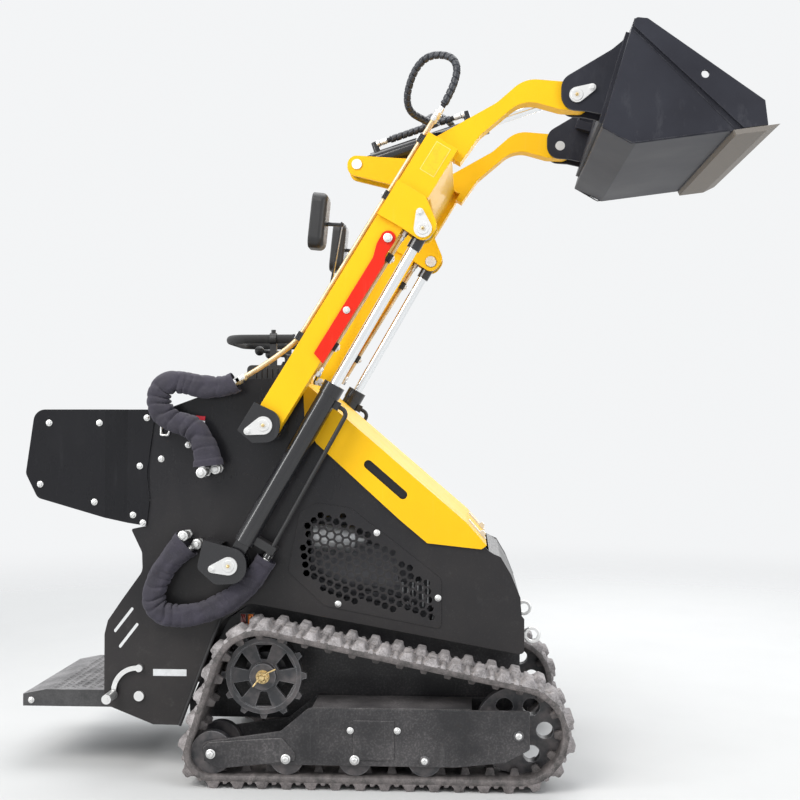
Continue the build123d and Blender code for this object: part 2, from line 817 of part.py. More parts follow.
def hood_hinges():
    """Pin and console-side leaves of the hood's hinges."""
    pieces = []
    leaf_end = CONSOLE_FRONT
    for y in (-HINGE_Y, HINGE_Y):
        hinge = rod_across(HOOD_HINGE_X, HOOD_HINGE_Z, HOOD_PIN_R, y - HINGE_HALF, y + HINGE_HALF)
        for low_y in (y - HINGE_HALF, y + HINGE_HALF / 2 + 1):
            high_y = low_y + HINGE_HALF / 2 - 1
            knuckle = rod_across(HOOD_HINGE_X, HOOD_HINGE_Z, HOOD_KNUCKLE_R, low_y, high_y)
            leaf = box_at(
                (leaf_end - HINGE_LEAF, low_y, CONSOLE_Z), (leaf_end, high_y, CONSOLE_Z + HOOD_SHEET))
            bridge = box_at(
                (leaf_end - HOOD_SHEET, low_y, CONSOLE_Z), (HOOD_HINGE_X - 6, high_y, HOOD_HINGE_Z))
            hinge = hinge + knuckle + (leaf + bridge)
        pieces.append(hinge)
    return pieces


def hood_latch():
    """A toggle latch lying on the hood's steep front, its lever's end turned out."""
    end = math.dist(HOOD_SLOPE_END, HOOD_FRONT) - LATCH_PLATE
    rows = placed(HOOD_SLOPE_END, heading(HOOD_SLOPE_END, HOOD_FRONT), [
        (8, 0, 0),
        (8, -LATCH_PLATE, 0),
        (end - 28, -LATCH_PLATE, 0),
        (end - 24, -LATCH_PLATE * 3, 0),
        (end - 12, -LATCH_PLATE * 3, 0),
        (end - 8, -LATCH_PLATE, 0),
        (end, -LATCH_PLATE, 0),
        (end, 0, 0),
    ])
    return slab(rows, -HINGE_Y - LATCH_WIDTH / 2, -HINGE_Y + LATCH_WIDTH / 2)


# Operator's place
def console_housing():
    """The rounded box under the controls."""
    return slab([
        (HOUSING_REAR, CONSOLE_Z, 0),
        (HOUSING_FRONT, CONSOLE_Z, 0),
        (HOUSING_FRONT, HOUSING_TOP, 14),
        (HOUSING_REAR, HOUSING_TOP, 14),
    ], -HOUSING_HALF_WIDTH, HOUSING_HALF_WIDTH)


def handlebar(radius):
    half = BAR_HALF_WIDTH
    return tube([
        (BAR_FRONT, -half, BAR_Z),
        (BAR_REAR, -half, BAR_Z),
        (BAR_REAR, half, BAR_Z),
        (BAR_FRONT, half, BAR_Z),
    ], radius, 0.3)


def bar_post():
    """A post on the console, with a clamp ring round the handlebar and its bolt on top."""
    y = -BAR_HALF_WIDTH
    half = POST_WIDTH / 2
    stem = box_at((POST_X - half, y - half, HOUSING_TOP), (POST_X + half, y + half, BAR_Z))
    ring = bar((POST_X - half, y, BAR_Z), (POST_X + half, y, BAR_Z), BAR_R + 5)
    bolt = bar((POST_X, y, BAR_Z), (POST_X, y, BAR_Z + BAR_R * 2), BAR_R / 2)
    return fuse([stem, ring, bolt]) - handlebar(BAR_R + RING_FIT)


def control_lever():
    """A cranked lever with a ball, standing in a boot."""
    y = -LEVER_Y
    knob = (LEVER_X - 85, y, HOUSING_TOP + 52)
    stem = tube([(LEVER_X, y, HOUSING_TOP), (LEVER_X, y, HOUSING_TOP + 44), knob], LEVER_R)
    boot = Pos(LEVER_X, y, HOUSING_TOP + 9) * Cone(LEVER_R * 3, LEVER_R * 1.4, 18)
    return fuse([boot, stem, Pos(*knob) * Sphere(KNOB_R)])


MIRROR_PLANE = Plane(
    origin=(MIRROR_X - MIRROR_DEPTH / 2, -MIRROR_Y, MIRROR_Z),
    x_dir=(0, 1, 0),
    z_dir=(math.cos(math.radians(MIRROR_LEAN)), 0, -math.sin(math.radians(MIRROR_LEAN))),
)


def mirror_shell():
    """A moulded shell with soft edges and a recess for the glass, and the glass."""
    body = extrude(RectangleRounded(MIRROR_WIDTH, MIRROR_HEIGHT, 30), amount=MIRROR_DEPTH)
    body = fillet(body.faces().sort_by(Axis.Z)[-1].edges(), 18)
    body = fillet(body.faces().sort_by(Axis.Z)[0].edges(), 4)
    width = MIRROR_WIDTH - 2 * MIRROR_RIM
    height = MIRROR_HEIGHT - 2 * MIRROR_RIM
    recess = extrude(RectangleRounded(width, height, 22), amount=GLASS)
    glass = extrude(RectangleRounded(width - 0.2, height - 0.2, 22), amount=GLASS)
    return MIRROR_PLANE * (body - recess), MIRROR_PLANE * glass


def mirror_bar():
    """A folded flat bar on the console, with a bolt into the mirror's back."""
    foot = (-340, CONSOLE_Z + STRAP)
    path = [foot, (-300, CONSOLE_Z + STRAP), (-180, 1400), (-140, 1625)]
    strap = slab(ribbon(path, STRAP), -MIRROR_Y - STRAP_WIDTH / 2, -MIRROR_Y + STRAP_WIDTH / 2)
    z = MIRROR_Z - 12
    bolt = bar((MIRROR_X, -MIRROR_Y, z + 4), (-132, -MIRROR_Y, z), 6)
    shell, _ = mirror_shell()
    return (strap + bolt) - (shell + MIRROR_PLANE * Box(60, 60, MIRROR_DEPTH))


def tie_down_eye():
    """A forged ring on a pad on the front plate."""
    face = Circle(EYE_RING + EYE_BAR) - Circle(EYE_RING - EYE_BAR)
    ring = between(Pos(FRONT_PLATE_X + EYE_REACH, EYE_Z) * face, -EYE_Y - EYE_BAR, -EYE_Y + EYE_BAR)
    rims = [edge for edge in ring.edges().filter_by(GeomType.CIRCLE) if edge.radius > EYE_RING]
    ring = fillet(rims, EYE_BAR * 0.7)
    pad = box_at(
        (FRONT_PLATE_X, -EYE_Y - 9, EYE_Z - 9),
        (FRONT_PLATE_X + EYE_REACH - EYE_RING + 1, -EYE_Y + 9, EYE_Z + 9))
    return ring + pad


def foot_lever():
    """A curved strip bolted to the side plate, and the roller at its end."""
    low = -SIDE_FACE_Y
    middle = (-787, 290)
    curve = ThreePointArc(LEVER_BOLT, middle, shift(ROLLER_PLACE, 1, 18))
    sheet = between(make_face(offset(curve, 7)), low - 12, low - 6)
    boss = rod_across(*LEVER_BOLT, 11, low - 14, low)
    spindle = rod_across(*ROLLER_PLACE, 6, low - 84, low - 6)
    link = box_at((ROLLER_PLACE[0] - 6, low - 12, ROLLER_PLACE[1]), (ROLLER_PLACE[0] + 7, low - 6, 252))
    lever = fuse([sheet, boss, spindle, link])
    roller = rod_across(*ROLLER_PLACE, ROLLER_R_FOOT, low - 82, low - 16)
    roller = roller - rod_across(*ROLLER_PLACE, 6 + RING_FIT, low - 90, low)
    return lever, roller


# Boom
PIVOT = (PIVOT_X, PIVOT_Z)
LIFT_BASE = (LIFT_BASE_X, LIFT_BASE_Z)
LIFT_PIN = place(PIVOT, ARM_ANGLE, LIFT_PIN_S, LIFT_PIN_OUT)
ARM_END = place(PIVOT, ARM_ANGLE, ARM_LENGTH, 0)
HORN = shift(ARM_END, -HORN_BACK, HORN_RISE)
BUCKET_PIN = shift(ARM_END, BUCKET_PIN_AHEAD, BUCKET_PIN_RISE)
TILT_EYE = shift(BUCKET_PIN, TILT_EYE_AHEAD, TILT_EYE_RISE)


def boom_arm():
    half = ARM_DEPTH / 2
    rows = placed(PIVOT, ARM_ANGLE, [
        (-half, -half, half - 0.5),
        (ARM_LENGTH, -half, 0),
        (ARM_LENGTH, BEAM_HIGH, 0),
        (BEAM_START, BEAM_HIGH, 0),
        (BEAM_START, half, 0),
        (-half, half, half - 0.5),
    ])
    low = -ARM_CENTRE_Y - ARM_WIDTH / 2
    high = -ARM_CENTRE_Y + ARM_WIDTH / 2
    arm = slab(rows, low, high)
    return arm - rod_across(*PIVOT, PIN_R + PIN_FIT, low - 1, high + 1)


def lift_bracket():
    """Outer and inner plates on the arm that hold the lift cylinder's upper pin."""
    rows = placed(PIVOT, ARM_ANGLE, [
        (LIFT_PIN_S - 31, -ARM_DEPTH / 2, 0),
        (BEAM_START, -ARM_DEPTH / 2, 0),
        (BEAM_START, LIFT_PIN_OUT - 41, 12),
        (LIFT_PIN_S + 29, LIFT_PIN_OUT + 33, 30),
        (LIFT_PIN_S - 33, LIFT_PIN_OUT + 29, 30),
        (LIFT_PIN_S - 29, LIFT_PIN_OUT - 55, 0),
    ])
    plates = [slab(rows, -EAR_OUTER_Y, -EAR_INNER_Y)]
    pad_rows = placed(PIVOT, ARM_ANGLE, [
        (LIFT_PIN_S - 29, -ARM_DEPTH / 2, 0),
        (BEAM_START, -ARM_DEPTH / 2, 0),
        (BEAM_START, ARM_DEPTH / 2 - 2, 0),
        (LIFT_PIN_S - 29, ARM_DEPTH / 2 - 2, 0),
    ])
    plates.append(slab(pad_rows, -EAR_INNER_Y, -ARM_FACE_Y))
    outer = fuse(plates)
    inner = slab(rows, -BOSS_FACE_Y, -BRACKET_FACE_Y) + slab(pad_rows, ARM_WIDTH - ARM_FACE_Y, -BOSS_FACE_Y)
    hole = rod_across(*LIFT_PIN, PIN_R, -EAR_OUTER_Y - 1, 0)
    return outer - hole, inner - hole


def beam_face():
    return outline(placed(PIVOT, ARM_ANGLE, [
        (TUBE_START, BEAM_LOW, 6),
        (ARM_LENGTH, BEAM_LOW, 6),
        (ARM_LENGTH, TUBE_HIGH, 6),
        (TUBE_START, TUBE_HIGH, 6),
    ]))


def cross_beam():
    """A box tube across both arms."""
    inner = ARM_CENTRE_Y - ARM_WIDTH / 2
    outside = beam_face()
    return between(outside - offset(outside, -BEAM_WALL), -inner, inner)


def beam_block():
    return between(beam_face(), -500, 500)


NECK_ROWS = [
    (*place(PIVOT, ARM_ANGLE, ARM_LENGTH, NECK_LOW), 0),
    *beside(ARM_END, [(161, 112, 90)]),
    *beside(BUCKET_PIN, [
        (-148, 55, 90),
        (42, 36, 34),
        (40, -42, 34),
        (-45, -37, 60),
        (-153, -5, 90),
    ]),
    *beside(ARM_END, [(111, 17, 90)]),
    (*place(PIVOT, ARM_ANGLE, ARM_LENGTH - NECK_GUSSET, BEAM_HIGH + 22), 0),
    (*place(PIVOT, ARM_ANGLE, ARM_LENGTH - NECK_GUSSET, BEAM_HIGH), 0),
    (*place(PIVOT, ARM_ANGLE, ARM_LENGTH, BEAM_HIGH), 0),
]


def gooseneck():
    """The bent plate box from the arm's end to the bucket's pin."""
    low = -NECK_CENTRE_Y - NECK_WIDTH / 2
    high = -NECK_CENTRE_Y + NECK_WIDTH / 2
    return slab(NECK_ROWS, low, high) - rod_across(*BUCKET_PIN, SMALL_PIN_R + PIN_FIT, low - 1, high + 1)


def horn():
    """One of the two plates that carry the tilt cylinder's rear pin."""
    rows = [
        (*shift(HORN, -HORN_R, -HORN_R), HORN_R - 1),
        *beside(ARM_END, [(-139, -70, 0), (-49, -100, 0), (-9, 5, 0), (-99, 17, 0)]),
        (*shift(HORN, -HORN_R, HORN_R), HORN_R - 1),
    ]
    low = -TILT_EYE_WIDTH / 2 - EAR_GAP - HORN_PLATE
    plate = slab(rows, low, low + HORN_PLATE) - beam_block()
    plate = min(plate.solids(), key=lambda s: s.center().X)
    return plate - rod_across(*HORN, SMALL_PIN_R, low - 1, low + HORN_PLATE + 1)


def prop():
    """The bar that is swung down on to the lift rod to hold the boom up."""
    head = place(PIVOT, ARM_ANGLE, PROP_HEAD_S, PROP_HEAD_T)
    end = PROP_HEAD_S - PROP_LENGTH
    rows = placed(PIVOT, ARM_ANGLE, [
        (PROP_HEAD_S + PROP_HEAD_R, PROP_HEAD_T - PROP_HEAD_R, PROP_HEAD_R - 1),
        (PROP_HEAD_S + PROP_HEAD_R, PROP_HEAD_T + PROP_HEAD_R, PROP_HEAD_R - 1),
        (PROP_HEAD_S - 45, PROP_HEAD_T + 20, 20),
        (PROP_HEAD_S - 70, PROP_HEAD_T + 30, 10),
        (end, PROP_HEAD_T + 30, 0),
        (end + 12, PROP_HEAD_T - 8, 0),
        (PROP_HEAD_S - 70, PROP_HEAD_T - 8, 20),
        (PROP_HEAD_S - 30, PROP_HEAD_T - 20, 20),
    ])
    face = -ARM_FACE_Y - PROP_GAP
    plate = slab(rows, face - PROP_PLATE, face)
    return plate - rod_across(*head, PROP_PIN_R + PIN_FIT, face - 20, face + 20)


def prop_pin():
    """The bolt through a prop's head, with its round head outside."""
    head = place(PIVOT, ARM_ANGLE, PROP_HEAD_S, PROP_HEAD_T)
    outside = -ARM_FACE_Y - PROP_GAP - PROP_PLATE
    shank = rod_across(*head, PROP_PIN_R, outside - PROP_GAP, -ARM_FACE_Y)
    return shank + rod_across(*head, PROP_PIN_R + 5, outside - 7, outside - PROP_GAP)


LIFT_LENGTH = math.dist(LIFT_BASE, LIFT_PIN)
LIFT_ANGLE = heading(LIFT_BASE, LIFT_PIN)
TILT_LENGTH = math.dist(HORN, TILT_EYE)
TILT_ANGLE = heading(HORN, TILT_EYE)


def axis_plane(base, angle, centre_y):
    """A plane square to a cylinder's axis, through its base."""
    c, d = along(angle)
    return Plane(origin=(base[0], centre_y, base[1]), x_dir=(0, 1, 0), z_dir=(c, 0, d))


def cylinder_barrel(base, angle, centre_y, length, pin_r, eye_width, neck_length):
    """An eye on a neck, a tube with a bore, and a gland at its mouth."""
    axis = axis_plane(base, angle, centre_y)
    start = EYE_R + neck_length
    eye = rod_across(*base, EYE_R, centre_y - eye_width / 2, centre_y + eye_width / 2)
    shell = extrude(axis.offset(start) * Circle(CYL_R), amount=length - start)
    gland = extrude(axis.offset(length - GLAND_LENGTH) * Circle(CYL_R + 2), amount=GLAND_LENGTH)
    neck = extrude(axis * Rectangle(EYE_WIDTH * 0.8, EYE_R * 1.5), amount=start + 2)
    body = fuse([shell, gland, neck, eye])
    bore = extrude(axis.offset(start + 20) * Circle(ROD_R + BORE_GAP), amount=length)
    return body - bore - rod_across(*base, pin_r + PIN_FIT, centre_y - eye_width, centre_y + eye_width)


def cylinder_rod(tip, angle, centre_y, reach):
    """A polished rod from its eye's socket to its end inside the barrel."""
    start = EYE_R + SOCKET_START
    axis = axis_plane(tip, angle + 180, centre_y)
    return extrude(axis.offset(start) * Circle(ROD_R), amount=reach - start)


def rod_eye(tip, angle, centre_y, eye_width):
    """The rod's eye, with a socket welded round the rod's end."""
    axis = axis_plane(tip, angle + 180, centre_y)
    start = EYE_R + SOCKET_START
    eye = rod_across(*tip, EYE_R, centre_y - eye_width / 2, centre_y + eye_width / 2)
    collar = extrude(axis * Circle(ROD_R + 5), amount=start)
    socket = extrude(axis.offset(start) * (Circle(ROD_R + 5) - Circle(ROD_R)), amount=20)
    return fuse([eye, collar, socket])


# Bucket: rows in the side view, floor from the heel to the lip
BUCKET_BACK_LOW = shift(BUCKET_PIN, 62, -115)
BUCKET_HEEL = shift(BUCKET_PIN, 156, -161)
BUCKET_LIP = shift(BUCKET_PIN, 551, -113)
BUCKET_TOP = shift(BUCKET_PIN, 154, 192)
FLOOR_ANGLE = heading(BUCKET_HEEL, BUCKET_LIP)
BACK_ANGLE = heading(BUCKET_BACK_LOW, BUCKET_TOP)


def bucket():
    """One folded sheet from the top of the back to the floor's front, closed by two sides."""
    front = place(BUCKET_HEEL, FLOOR_ANGLE, 300, 0)
    outside = [(*BUCKET_TOP, 0), (*BUCKET_BACK_LOW, 6), (*BUCKET_HEEL, 6), (*front, 0)]
    inside = [
        (*place(BUCKET_HEEL, FLOOR_ANGLE, 300, -BUCKET_PLATE), 0),
        (*place(BUCKET_HEEL, FLOOR_ANGLE, 3, -BUCKET_PLATE), 4),
        (*place(BUCKET_BACK_LOW, BACK_ANGLE, 3, BUCKET_PLATE), 4),
        (*place(BUCKET_TOP, BACK_ANGLE, 0, BUCKET_PLATE), 0),
    ]
    half = BUCKET_HALF_WIDTH - CUTTER_PLATE
    shell = slab(outside + inside, -half, half)
    side = slab(outside, -half, -half + BUCKET_PLATE)
    return fuse([shell, side, left(side)])


CUTTER_HOLE = shift(BUCKET_LIP, -204, 142)


def side_cutter():
    """The thick front strip of a bucket side, from the back's top to the lip."""
    rows = [
        *beside(BUCKET_TOP, [(-3, -25, 0), (0, 0, 10), (35, -4, 12)]),
        *beside(BUCKET_LIP, [(-41, 66, 4), (-33, -2, 0), (-99, -10, 0)]),
    ]
    cutter = slab(rows, -BUCKET_HALF_WIDTH, -BUCKET_HALF_WIDTH + CUTTER_PLATE)
    return cutter - rod_across(*CUTTER_HOLE, CUTTER_HOLE_R, -BUCKET_HALF_WIDTH - 1, 0)


def cutting_edge():
    rows = [
        (*place(BUCKET_HEEL, FLOOR_ANGLE, 270, 0), 0),
        (*place(BUCKET_HEEL, FLOOR_ANGLE, 275, EDGE_PLATE), 0),
        (*place(BUCKET_LIP, FLOOR_ANGLE, -40, EDGE_PLATE), 0),
        (*BUCKET_LIP, 0),
    ]
    return slab(rows, -BUCKET_HALF_WIDTH, BUCKET_HALF_WIDTH)


ATTACH_LOW = place(BUCKET_BACK_LOW, BACK_ANGLE, 30, 0)
ATTACH_HIGH = place(BUCKET_BACK_LOW, BACK_ANGLE, 300, 0)


def attach_frame():
    """The quick-attach plate on the bucket's back, with clevis plates for both goosenecks."""
    plate = slab([
        (*ATTACH_LOW, 0),
        (*ATTACH_HIGH, 0),
        (*place(ATTACH_HIGH, BACK_ANGLE, 0, -ATTACH_PLATE), 0),
        (*place(ATTACH_LOW, BACK_ANGLE, 0, -ATTACH_PLATE), 0),
    ], -ATTACH_HALF_WIDTH, ATTACH_HALF_WIDTH)
    window = slab(placed(BUCKET_BACK_LOW, BACK_ANGLE, [
        (110, 20, 0),
        (110, -40, 0),
        (285, -40, 0),
        (285, 20, 0),
    ]), -48, 48)
    plate = plate - window
    ear_rows = [
        *beside(BUCKET_PIN, [(-44, -40, 43), (30, -46, 0)]),
        (*place(ATTACH_LOW, BACK_ANGLE, 30, 0), 0),
        (*place(ATTACH_HIGH, BACK_ANGLE, -5, 0), 0),
        *beside(BUCKET_PIN, [(100, 130, 0), (-44, 46, 43)]),
    ]
    neck_low = NECK_CENTRE_Y - NECK_WIDTH / 2
    neck_high = NECK_CENTRE_Y + NECK_WIDTH / 2
    ears = []
    for low_y in (-neck_high - EAR_GAP - ATTACH_PLATE, -neck_low + EAR_GAP):
        ears.append(slab(ear_rows, low_y, low_y + ATTACH_PLATE))
    tilt_rows = [
        (*shift(TILT_EYE, -26, -26), 25),
        (*place(ATTACH_LOW, BACK_ANGLE, 140, -ATTACH_PLATE), 0),
        (*place(ATTACH_LOW, BACK_ANGLE, 265, -ATTACH_PLATE), 0),
        (*shift(TILT_EYE, -26, 26), 25),
    ]
    tilt_low = -TILT_EYE_WIDTH / 2 - EAR_GAP - HORN_PLATE
    tilt_ear = slab(tilt_rows, tilt_low, tilt_low + HORN_PLATE)
    ears.append(tilt_ear - rod_across(*TILT_EYE, SMALL_PIN_R, -ATTACH_HALF_WIDTH, 0))
    body = fuse([plate] + ears + [left(ear) for ear in ears])
    back = [(*BUCKET_TOP, 0), (*BUCKET_BACK_LOW, 0), (*BUCKET_HEEL, 0), (*shift(BUCKET_TOP, 200, 0), 0)]
    body = body - slab(back, -ATTACH_HALF_WIDTH, ATTACH_HALF_WIDTH)
    return body - rod_across(*BUCKET_PIN, SMALL_PIN_R, -ATTACH_HALF_WIDTH, ATTACH_HALF_WIDTH)


def attach_lock():
    """A lock's foot on the quick-attach plate, and the handle that turns its pin."""
    y = -NECK_CENTRE_Y + NECK_WIDTH / 2 + EAR_GAP + ATTACH_PLATE + 30
    spot = (168, -ATTACH_PLATE)
    foot = slab(placed(BUCKET_BACK_LOW, BACK_ANGLE, [
        (spot[0] - 14, -ATTACH_PLATE, 0),
        (spot[0] + 14, -ATTACH_PLATE, 0),
        (spot[0] + 14, -62, 6),
        (spot[0] - 14, -62, 6),
    ]), y - 16, y + 16)
    low_x, low_z = place(BUCKET_BACK_LOW, BACK_ANGLE, spot[0], -54)
    high_x, high_z = place(BUCKET_BACK_LOW, BACK_ANGLE, spot[0] + 74, -62)
    handle = bar((low_x, y, low_z), (high_x, y, high_z), 7)
    return foot + handle


# Pipes, hoses and fittings of the right-hand side
PIPE_REAR = -ARM_DEPTH / 2 - PIPE_OFF
PIPE_FRONT = ARM_DEPTH / 2 + PIPE_OFF
PIPE_START = shift(PIVOT, -64, 140)
PIPE_BEND = shift(PIVOT, -10, 170)
PIPE_LOW = place(PIVOT, ARM_ANGLE, 255, PIPE_REAR)
PIPE_TIP = place(PIVOT, ARM_ANGLE, ARM_LENGTH + 40, PIPE_REAR)
PIPE_YS = [-ARM_CENTRE_Y - PIPE_SPREAD, -ARM_CENTRE_Y + PIPE_SPREAD]
FRONT_PIPE_ENDS = [
    place(PIVOT, ARM_ANGLE, 225, PIPE_FRONT),
    place(PIVOT, ARM_ANGLE, PROP_HEAD_S + 20, PIPE_FRONT),
]


def beyond(start, onward, reach):
    """The point before a run's start, on the run's line."""
    away = (Vector(*start) - Vector(*onward)).normalized() * reach
    return shift(start, away.X, away.Y)


def piped(y, points, fitting_r):
    """A hard pipe at one y, with a fitting at each end."""
    pieces = [tube(at_y(y, points), PIPE_R)]
    for start, onward in [(points[0], points[1]), (points[-1], points[-2])]:
        tip = beyond(start, onward, FITTING_LENGTH)
        pieces.append(bar(*at_y(y, [start, tip]), fitting_r))
    return pieces


def boom_pipes():
    """Hard pipes along an arm's rear and front edges, held by clamp blocks."""
    pieces = []
    for y in PIPE_YS:
        pieces += piped(y, [PIPE_START, PIPE_BEND, PIPE_LOW, PIPE_TIP], FITTING_R)
    pieces += piped(-ARM_CENTRE_Y, FRONT_PIPE_ENDS, SLIM_FITTING_R)
    clamps = [
        (272, PIPE_REAR),
        (LIFT_PIN_S + 30, PIPE_REAR),
        (ARM_LENGTH - 27, PIPE_REAR),
        (300, PIPE_FRONT),
        (PROP_HEAD_S - 45, PIPE_FRONT),
    ]
    half = CLAMP_LENGTH / 2
    for s, t in clamps:
        near = math.copysign(ARM_DEPTH / 2, t)
        far = t + math.copysign(PIPE_R + 4, t)
        rows = placed(PIVOT, ARM_ANGLE, [
            (s - half, near, 0),
            (s + half, near, 0),
            (s + half, far, 0),
            (s - half, far, 0),
        ])
        reach = PIPE_R + 4 if t > 0 else PIPE_SPREAD + PIPE_R + 4
        pieces.append(slab(rows, -ARM_CENTRE_Y - reach, -ARM_CENTRE_Y + reach))
    return fuse(pieces)


def barrel_line():
    """The steel line beside a lift barrel, from its gland's port to the block at its foot."""
    y = -ARM_CENTRE_Y
    spots = placed(LIFT_BASE, LIFT_ANGLE, [
        (LINE_HIGH_S, CYL_R - 4, 0),
        (LINE_HIGH_S, LINE_HIGH_T, 0),
        (LINE_LOW_S + 4, LINE_LOW_T, 0),
    ])
    line = tube(at_y(y, [(x, z) for x, z, _ in spots]), LINE_R, 0.4)
    blocks = []
    for s, high_t, low_y, high_y in [
        (LINE_HIGH_S - 12, CYL_R + 14, y - 12, y + 12),
        (LINE_LOW_S, LINE_LOW_T + 12, y - 12, y + 36),
    ]:
        rows = placed(LIFT_BASE, LIFT_ANGLE, [
            (s, CYL_R - 6, 0),
            (s + 24, CYL_R - 6, 0),
            (s + 24, high_t, 0),
            (s, high_t, 0),
        ])
        blocks.append(slab(rows, low_y, high_y))
    top = place(LIFT_BASE, LIFT_ANGLE, LINE_LOW_S + 2, LINE_LOW_T)
    for low_y in LOWER_YS:
        blocks.append(bar(*at_y(low_y, [top, LOWER_END]), FITTING_R))
    barrel = extrude(axis_plane(LIFT_BASE, LIFT_ANGLE, y) * Circle(CYL_R), amount=LIFT_BARREL)
    return fuse(blocks + [line]) - barrel


def tilt_port(s, onward):
    """An elbow on top of the tilt barrel, facing along it."""
    foot = place(HORN, TILT_ANGLE, s, -CYL_R + 8)
    corner = place(HORN, TILT_ANGLE, s, -PORT_OUT)
    tip = place(HORN, TILT_ANGLE, s + onward, -PORT_OUT)
    upright = bar(*at_y(0, [foot, place(HORN, TILT_ANGLE, s, -PORT_OUT - LOOP_HOSE_R)]), FITTING_R)
    return upright + bar(*at_y(0, [corner, tip]), FITTING_R - 2)


# Hoses: a pair on each side, from elbows on the side plate
UPPER_PORTS = [(-536, 886), (-500, 896)]
UPPER_END = beyond(PIPE_START, PIPE_BEND, FITTING_LENGTH)
UPPER_TURN = beyond(PIPE_START, PIPE_BEND, FITTING_LENGTH + UPPER_LEAD)
UPPER_CORNERS = [(-528, 1010), (-668, 1046), (-660, 1166), UPPER_TURN]
LOWER_PORTS = [(-592, 702), (-557, 676)]
LOWER_YS = [-ARM_CENTRE_Y, -ARM_CENTRE_Y + 24]
LOWER_END = place(LIFT_BASE, LIFT_ANGLE, LINE_LOW_S - ELBOW_REACH, LINE_LOW_T)
LOWER_TURN = place(LIFT_BASE, LIFT_ANGLE, LINE_LOW_S - ELBOW_REACH - LINE_LEAD, LINE_LOW_T)
LOWER_CORNERS = [(-690, 580), (-672, 448), LOWER_TURN]


def hose(name, points, radius):
    """A hose, whose length and bends are printed."""
    path, bends = bent_path(points, 0.45)
    print(name, "length", round(path.length), "bends", [round(bend) for bend in bends])
    return sweep(Plane(origin=path @ 0, z_dir=path % 0) * Circle(radius), path=path)


def elbow_tip(port, corner):
    return beyond(port, corner, -ELBOW_REACH)


def side_hoses(name, ports, ys, corners, end):
    hoses = []
    for port, y in zip(ports, ys):
        points = [elbow_tip(port, corners[0]), *corners, end]
        hoses.append(hose(name, at_y(y, points), HOSE_R))
    return hoses


def hose_elbows(ports, ys, corner):
    """Elbows on the side plate's outer face, each turned towards its hose."""
    elbows = []
    for port, y in zip(ports, ys):
        stem = rod_across(*port, FITTING_R, y - FITTING_R, -SIDE_FACE_Y)
        nut = between(Pos(*port) * RegularPolygon(FITTING_R + 3, 6), -SIDE_FACE_Y - 10, -SIDE_FACE_Y)
        elbows.append(fuse([stem, nut, bar(*at_y(y, [port, elbow_tip(port, corner)]), FITTING_R - 2)]))
    return elbows


def boom_hoses():
    """The looped hose from the right arm and the short one from the left, to the tilt barrel."""
    inner_y = PIPE_YS[1]
    tip_x, tip_z = beyond(PIPE_TIP, PIPE_LOW, FITTING_LENGTH)
    rise_x, rise_z = beyond(PIPE_TIP, PIPE_LOW, FITTING_LENGTH + 124)
    rear_x, rear_z = place(HORN, TILT_ANGLE, PORT_REAR_S + ELBOW_REACH, -PORT_OUT)
    turn_x, turn_z = place(HORN, TILT_ANGLE, PORT_REAR_S + ELBOW_REACH + 200, -PORT_OUT)
    loop = hose("boom loop", [
        (tip_x, inner_y, tip_z),
        (rise_x, inner_y, rise_z),
        (rise_x - 51, inner_y + 47, rise_z + 116),
        (rise_x - 166, inner_y + 117, rise_z + 26),
        (turn_x + 3, -110, turn_z - 12),
        (turn_x, 0, turn_z),
        (rear_x, 0, rear_z),
    ], LOOP_HOSE_R)
    front_x, front_z = place(HORN, TILT_ANGLE, PORT_FRONT_S - ELBOW_REACH, -PORT_OUT)
    back_x, back_z = place(HORN, TILT_ANGLE, PORT_FRONT_S - ELBOW_REACH - 144, -PORT_OUT)
    short = hose("boom short", [
        (tip_x, -inner_y, tip_z),
        (rise_x, -inner_y, rise_z),
        (rise_x - 85, -inner_y - 147, rise_z + 42),
        (back_x, 0, back_z),
        (front_x, 0, front_z),
    ], LOOP_HOSE_R)
    return loop, short


